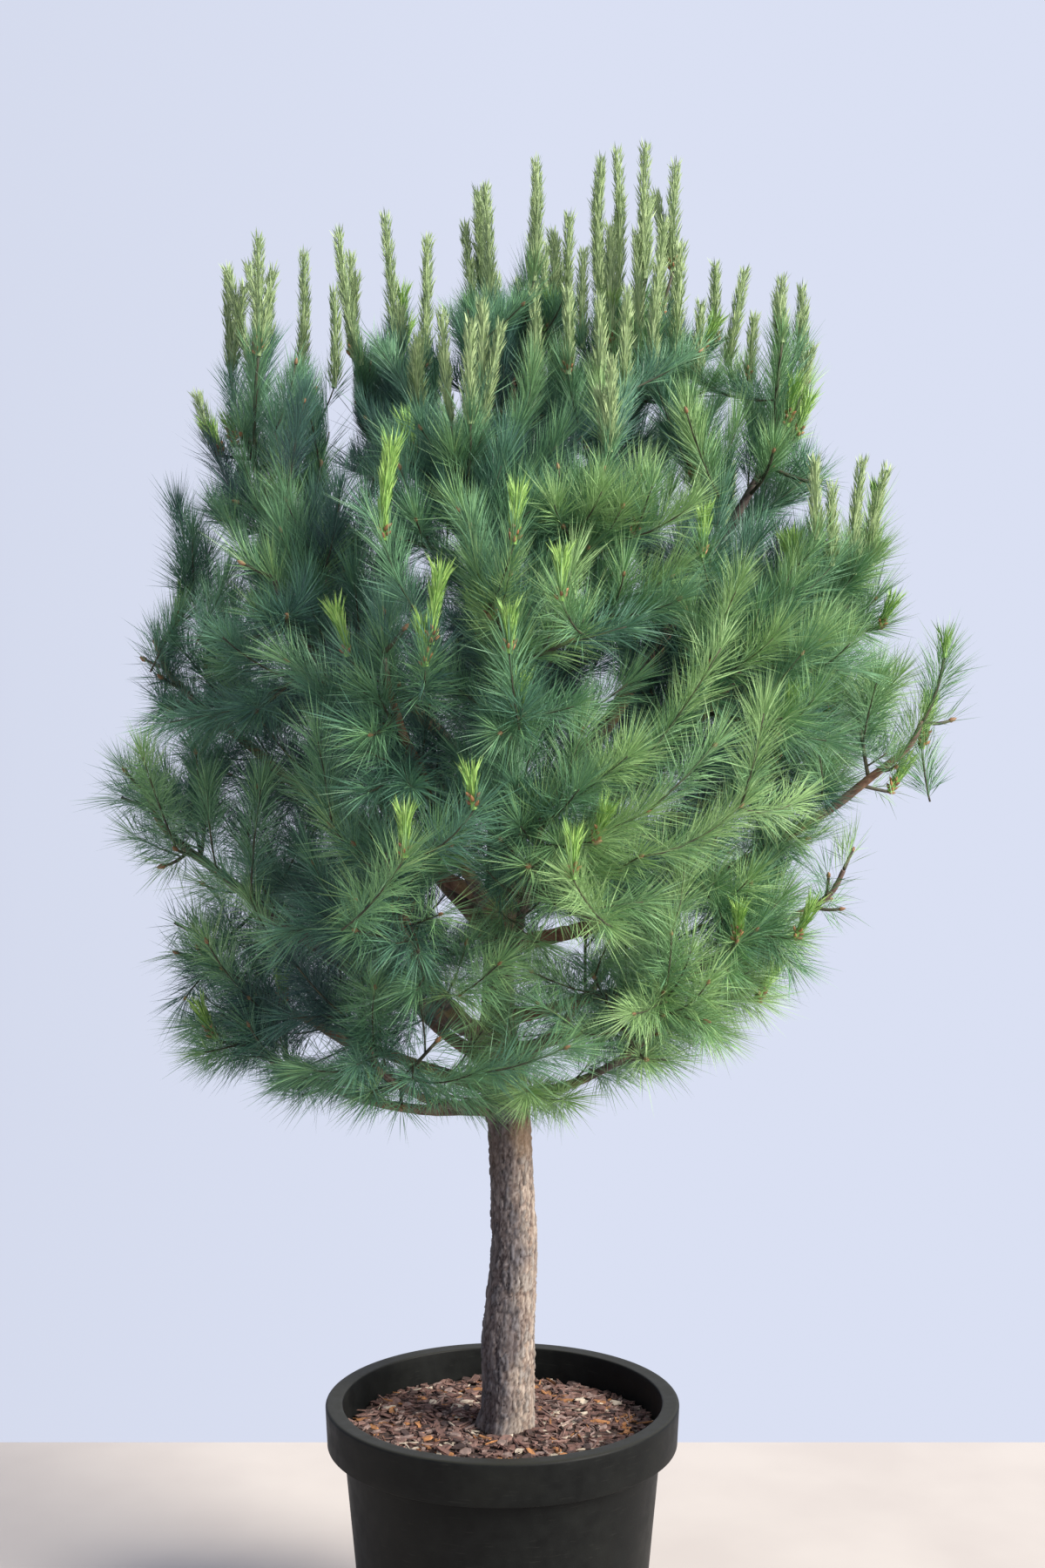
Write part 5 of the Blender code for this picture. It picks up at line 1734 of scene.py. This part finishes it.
def build_chips(materials):
    """Chips and shreds of bark that lie on the soil, each raised a little by chance."""
    rng = np.random.default_rng(SEED * 8000)
    shape = Shape()
    reach = np.sqrt(rng.uniform(CHIP_REACH[0] ** 2, CHIP_REACH[1] ** 2, CHIPS))
    turns = rng.uniform(0, math.tau, CHIPS)
    outline = np.array([[x, y, z] for z in (-1, 1) for x, y in CHIP_OUTLINE], float)
    ring = np.arange(6)
    following = (ring + 1) % 6
    sides = np.stack([ring, following, following + 6, ring + 6], axis=1)
    fans = [[0, k + 1, k] for k in range(1, 5)] + [[6, 6 + k, 7 + k] for k in range(1, 5)]
    for number in range(CHIPS):
        shred = rng.random() < SHREDS
        length = rng.uniform(0.014, 0.046) if shred else rng.uniform(0.008, 0.026)
        width = rng.uniform(0.0016, 0.0040) if shred else length * rng.uniform(0.35, 0.75)
        thick = rng.uniform(0.0010, 0.0026) if shred else rng.uniform(0.0014, 0.0045)
        corners = outline + rng.normal(0, 0.16, outline.shape)
        corners *= np.array([length, width, thick]) / 2
        curl = rng.uniform(-2, 2)
        corners[:, 2] += 0.10 * length * (corners[:, 0] / length) ** 2 * curl
        heading = Matrix.Rotation(rng.uniform(0, math.tau), 3, "Z")
        tilt, roll = rng.normal(0, 0.16, 2)
        spin = heading @ Matrix.Rotation(tilt, 3, "X") @ Matrix.Rotation(roll, 3, "Y")
        corners = corners @ np.array(spin).T
        away = min(reach[number], CHIP_FARTHEST - length * 0.5)
        place = np.array([away * math.cos(turns[number]), away * math.sin(turns[number]), 0.0])
        place[2] = soil_top(place) + rng.uniform(0.0, CHIP_LIFT)
        kind = rng.choice(len(materials), p=CHIP_SHARES)
        shape.add(corners + place, sides, fans, kind=kind)
    piece = shape.make("mulch_chips", materials)
    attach(piece, "root")


class Finish:
    """A material under construction, with its nodes."""

    def __init__(self, name, roughness):
        self.material = bpy.data.materials.new(name)
        self.material.use_nodes = True
        self.tree = self.material.node_tree
        self.shader = self.tree.nodes["Principled BSDF"]
        self.shader.inputs["Roughness"].default_value = roughness

    def node(self, kind, **inputs):
        made = self.tree.nodes.new(kind)
        for name, value in inputs.items():
            self.feed(made.inputs[name.replace("_", " ")], value)
        return made

    def feed(self, socket, value):
        if isinstance(value, bpy.types.NodeSocket):
            self.tree.links.new(value, socket)
        else:
            socket.default_value = value

    def place(self):
        return self.node("ShaderNodeTexCoord").outputs["Object"]

    def noise(self, scale, detail=3.0, stretch=None):
        place = self.place()
        if stretch:
            place = self.node("ShaderNodeMapping", Vector=place, Scale=stretch).outputs["Vector"]
        made = self.node("ShaderNodeTexNoise", Vector=place, Scale=scale, Detail=detail)
        return made.outputs["Fac"]

    def value(self, name):
        made = self.tree.nodes.new("ShaderNodeAttribute")
        made.attribute_name = name
        return made.outputs["Fac"]

    def ramp(self, factor, *stops):
        made = self.node("ShaderNodeValToRGB", Fac=factor)
        elements = made.color_ramp.elements
        while len(elements) < len(stops):
            elements.new(0.5)
        for element, (position, colour) in zip(elements, stops):
            element.position = position
            element.color = (*colour, 1.0)
        return made.outputs["Color"]

    def level(self, factor, low, high):
        """The factor stretched so that low becomes 0 and high becomes 1."""
        made = self.node("ShaderNodeMapRange", Value=factor, From_Min=low, From_Max=high)
        return made.outputs["Result"]

    def mix(self, factor, one, two, blend="MIX"):
        made = self.tree.nodes.new("ShaderNodeMix")
        made.data_type = "RGBA"
        made.blend_type = blend
        self.feed(made.inputs[0], factor)
        self.feed(made.inputs[6], one if isinstance(one, bpy.types.NodeSocket) else (*one, 1.0))
        self.feed(made.inputs[7], two if isinstance(two, bpy.types.NodeSocket) else (*two, 1.0))
        return made.outputs[2]

    def maths(self, operation, one, two):
        made = self.tree.nodes.new("ShaderNodeMath")
        made.operation = operation
        self.feed(made.inputs[0], one)
        self.feed(made.inputs[1], two)
        return made.outputs[0]

    def colour(self, socket):
        self.feed(self.shader.inputs["Base Color"], socket)

    def bump(self, height, distance, strength=1.0):
        made = self.node("ShaderNodeBump", Height=height, Distance=distance, Strength=strength)
        self.feed(self.shader.inputs["Normal"], made.outputs["Normal"])


def trunk_finish():
    """Plates from dark fissures to pale tops, brown or grey, and one side painted darker and bluer
    as shade.
    """
    bark = Finish("trunk_bark_look", 0.88)
    relief = bark.value("relief")
    pale = bark.ramp(
        relief,
        (0.0, (0.030, 0.020, 0.018)),
        (0.20, (0.085, 0.056, 0.048)),
        (0.48, (0.240, 0.185, 0.156)),
        (0.85, (0.440, 0.370, 0.312)),
    )
    grey = bark.ramp(
        relief,
        (0.0, (0.022, 0.017, 0.017)),
        (0.25, (0.065, 0.050, 0.047)),
        (0.60, (0.165, 0.138, 0.124)),
        (1.0, (0.310, 0.275, 0.250)),
    )
    colour = bark.mix(bark.level(bark.value("tone"), 0.45, 0.75), pale, grey)
    patches = bark.level(bark.noise(9.0, 2.0), 0.50, 0.62)
    height = bark.node("ShaderNodeSeparateXYZ", Vector=bark.place()).outputs["Z"]
    low, high = bark.level(height, 0.84, 0.98), bark.level(height, 1.16, 1.06)
    rise = bark.maths("MULTIPLY", low, high)
    mottled = bark.maths("MULTIPLY", bark.maths("MULTIPLY", patches, rise), 0.65)
    ochre = bark.mix(mottled, colour, (0.250, 0.155, 0.075))
    streaks = bark.noise(60.0, 4.0, (1.0, 1.0, 0.3))
    smooth = bark.ramp(streaks, (0.3, (0.10, 0.062, 0.045)), (0.7, (0.27, 0.165, 0.110)))
    upper = bark.mix(bark.level(height, 1.05, 1.30), ochre, smooth)
    # The trunk's side away from the light is painted darker and bluer, as shade
    painted_shade_side = bark.level(bark.value("painted_shade_side"), 0.40, 0.72)
    upper = bark.mix(painted_shade_side, upper, (0.42, 0.44, 0.53), "MULTIPLY")
    fine = bark.noise(260.0, 4.0, (1.0, 1.0, 0.45))
    grains = bark.level(fine, 0.35, 0.75)
    bark.colour(bark.mix(grains, upper, (0.62, 0.56, 0.50), "MULTIPLY"))
    bark.bump(fine, 0.0012, 0.8)
    return bark.material


def bough_finish():
    """Brown and slate bark with olive patches."""
    bark = Finish("bough_bark_look", 0.86)
    relief = bark.value("relief")
    brown = bark.ramp(
        relief,
        (0.0, (0.035, 0.020, 0.015)),
        (0.45, (0.150, 0.078, 0.050)),
        (1.0, (0.300, 0.180, 0.115)),
    )
    slate = bark.ramp(
        relief,
        (0.0, (0.020, 0.017, 0.018)),
        (0.50, (0.085, 0.066, 0.060)),
        (1.0, (0.200, 0.165, 0.145)),
    )
    colour = bark.mix(bark.level(bark.noise(5.0, 2.0), 0.42, 0.58), brown, slate)
    olive = bark.level(bark.noise(11.0, 2.0), 0.56, 0.66)
    colour = bark.mix(bark.maths("MULTIPLY", olive, 0.55), colour, (0.28, 0.22, 0.085))
    fine = bark.noise(330.0, 3.0)
    grains = bark.level(fine, 0.35, 0.75)
    bark.colour(bark.mix(grains, colour, (0.60, 0.55, 0.52), "MULTIPLY"))
    bark.bump(fine, 0.0008, 0.7)
    return bark.material


def mottled_finish(name, roughness, scales, stops, bump):
    """One noise through a ramp of colours, and a finer noise as bump."""
    made = Finish(name, roughness)
    made.colour(made.ramp(made.noise(*scales), *stops))
    (fine, detail), distance, strength = bump
    made.bump(made.noise(fine, detail), distance, strength)
    return made.material


def twig_finish():
    stops = (0.35, (0.034, 0.030, 0.022)), (0.65, (0.074, 0.070, 0.040))
    return mottled_finish("twig_look", 0.75, (70.0, 2.0), stops, ((500.0, 2.0), 0.0006, 0.6))


def pot_finish():
    """Black plastic with dust, paler on faces that point up, and fine scratches round it."""
    plastic = Finish("pot_plastic_look", 0.5)
    dust = plastic.level(plastic.noise(7.0, 5.0), 0.45, 0.75)
    normal = plastic.node("ShaderNodeNewGeometry").outputs["Normal"]
    facing = plastic.node("ShaderNodeSeparateXYZ", Vector=normal)
    top = plastic.level(facing.outputs["Z"], 0.55, 0.95)
    grime = plastic.noise(45.0, 4.0)
    black = plastic.ramp(
        grime, (0.30, (0.0030, 0.0035, 0.0036)), (0.75, (0.0062, 0.0070, 0.0068))
    )
    dusty = plastic.mix(plastic.maths("MULTIPLY", dust, 0.30), black, (0.022, 0.023, 0.019))
    # Faces that point up are painted paler
    topped = plastic.mix(plastic.maths("MULTIPLY", top, 0.70), dusty, (0.034, 0.034, 0.028))
    scratches = plastic.level(plastic.noise(30.0, 6.0, (1.0, 1.0, 14.0)), 0.63, 0.70)
    worn = plastic.maths("MULTIPLY", scratches, 0.25)
    plastic.colour(plastic.mix(worn, topped, (0.030, 0.030, 0.027)))
    shine = plastic.node("ShaderNodeMapRange", Value=grime, To_Min=0.38, To_Max=0.66)
    plastic.feed(plastic.shader.inputs["Roughness"], shine.outputs["Result"])
    plastic.shader.inputs["Specular IOR Level"].default_value = 0.13
    plastic.bump(plastic.noise(420.0, 2.0), 0.0003, 0.5)
    return plastic.material


def soil_finish():
    dark, brown, pale = (0.018, 0.011, 0.009), (0.060, 0.034, 0.026), (0.150, 0.085, 0.062)
    stops = (0.30, dark), (0.55, brown), (0.80, pale)
    return mottled_finish("soil_look", 0.95, (120.0, 5.0), stops, ((300.0, 4.0), 0.003, 1.0))


def chip_finishes():
    finishes = []
    for number, colour in enumerate(CHIP_COLOURS):
        stops = (0.35, tuple(part * 0.55 for part in colour)), (0.65, colour)
        scales = (160.0, 3.0, (1.0, 0.4, 1.0))
        bump = ((600.0, 2.0), 0.0006, 0.6)
        finishes.append(mottled_finish(f"chip_look_{number}", 0.9, scales, stops, bump))
    return finishes


def plain_finishes(name, colours, roughness):
    """One plain material for each colour."""
    finishes = []
    for number, colour in enumerate(colours):
        made = Finish(f"{name}_{number}", roughness)
        made.shader.inputs["Base Color"].default_value = (*colour, 1.0)
        finishes.append(made.material)
    return finishes


def build_floor():
    """A pale floor."""
    bm = bmesh.new()
    bm.faces.new([bm.verts.new((x, y, 0.0)) for x, y in FLOOR_CORNERS])
    mesh = bpy.data.meshes.new("floor")
    bm.to_mesh(mesh)
    bm.free()
    floor = bpy.data.objects.new("floor", mesh)
    bpy.context.scene.collection.objects.link(floor)
    pale = Finish("floor_look", 0.85)
    grey, light = FLOOR_COLOURS
    pale.colour(pale.ramp(pale.noise(3.0, 3.0), (0.35, grey), (0.65, light)))
    floor.data.materials.append(pale.material)


def build_sky():
    """A pale sky, brighter on the right."""
    world = bpy.data.worlds.new("pale_sky")
    world.use_nodes = True
    nodes, links = world.node_tree.nodes, world.node_tree.links
    axes = nodes.new("ShaderNodeSeparateXYZ")
    links.new(nodes.new("ShaderNodeTexCoord").outputs["Generated"], axes.inputs[0])
    shift = nodes.new("ShaderNodeMapRange")
    shift.inputs["From Min"].default_value = -1.0
    links.new(axes.outputs["X"], shift.inputs["Value"])
    ramp = nodes.new("ShaderNodeValToRGB")
    links.new(shift.outputs["Result"], ramp.inputs["Fac"])
    elements = ramp.color_ramp.elements
    while len(elements) < len(SKY):
        elements.new(0.5)
    for element, (position, share) in zip(elements, SKY):
        element.position = position
        element.color = tuple(part * share for part in SKY_COLOUR) + (1.0,)
    links.new(ramp.outputs["Color"], nodes["Background"].inputs["Color"])
    bpy.context.scene.world = world


def build_stage():
    """The floor, the sky, one soft light from the front right, and the camera."""
    build_floor()
    build_sky()
    data = bpy.data.lights.new("key_light", "SUN")
    data.angle = KEY_ANGLE
    data.energy = KEY_STRENGTH
    data.color = KEY_COLOUR
    light = bpy.data.objects.new("key_light", data)
    light.location = KEY_PLACE
    aim = Vector(KEY_AIM) - Vector(KEY_PLACE)
    light.rotation_euler = aim.to_track_quat("-Z", "Y").to_euler()
    bpy.context.scene.collection.objects.link(light)

    data = bpy.data.cameras.new("camera")
    data.lens = CAMERA_LENS
    data.sensor_width = CAMERA_SENSOR
    camera = bpy.data.objects.new("camera", data)
    camera.location = CAMERA_PLACE
    camera.rotation_euler = (math.radians(CAMERA_TILT), 0.0, 0.0)
    bpy.context.scene.collection.objects.link(camera)
    bpy.context.scene.camera = camera
    bpy.context.scene.view_settings.view_transform = "Standard"


def main():
    space = Space(TUFTS)
    sprays, candles, young = plan_crown(space)
    build_stage()
    build_pot(pot_finish())
    build_soil(soil_finish())
    build_chips(chip_finishes())
    build_trunk(trunk_finish())
    build_boughs(bough_finish())
    build_twigs(sprays, twig_finish())
    build_needles(sprays, space, plain_finishes("needle_green", NEEDLE_COLOURS, 0.5))
    build_candles(candles, young, plain_finishes("candle_green", CANDLE_COLOURS, 0.55))
    build_buds(sprays, young, candles, plain_finishes("bud_brown", BUD_COLOURS, 0.6))


main()
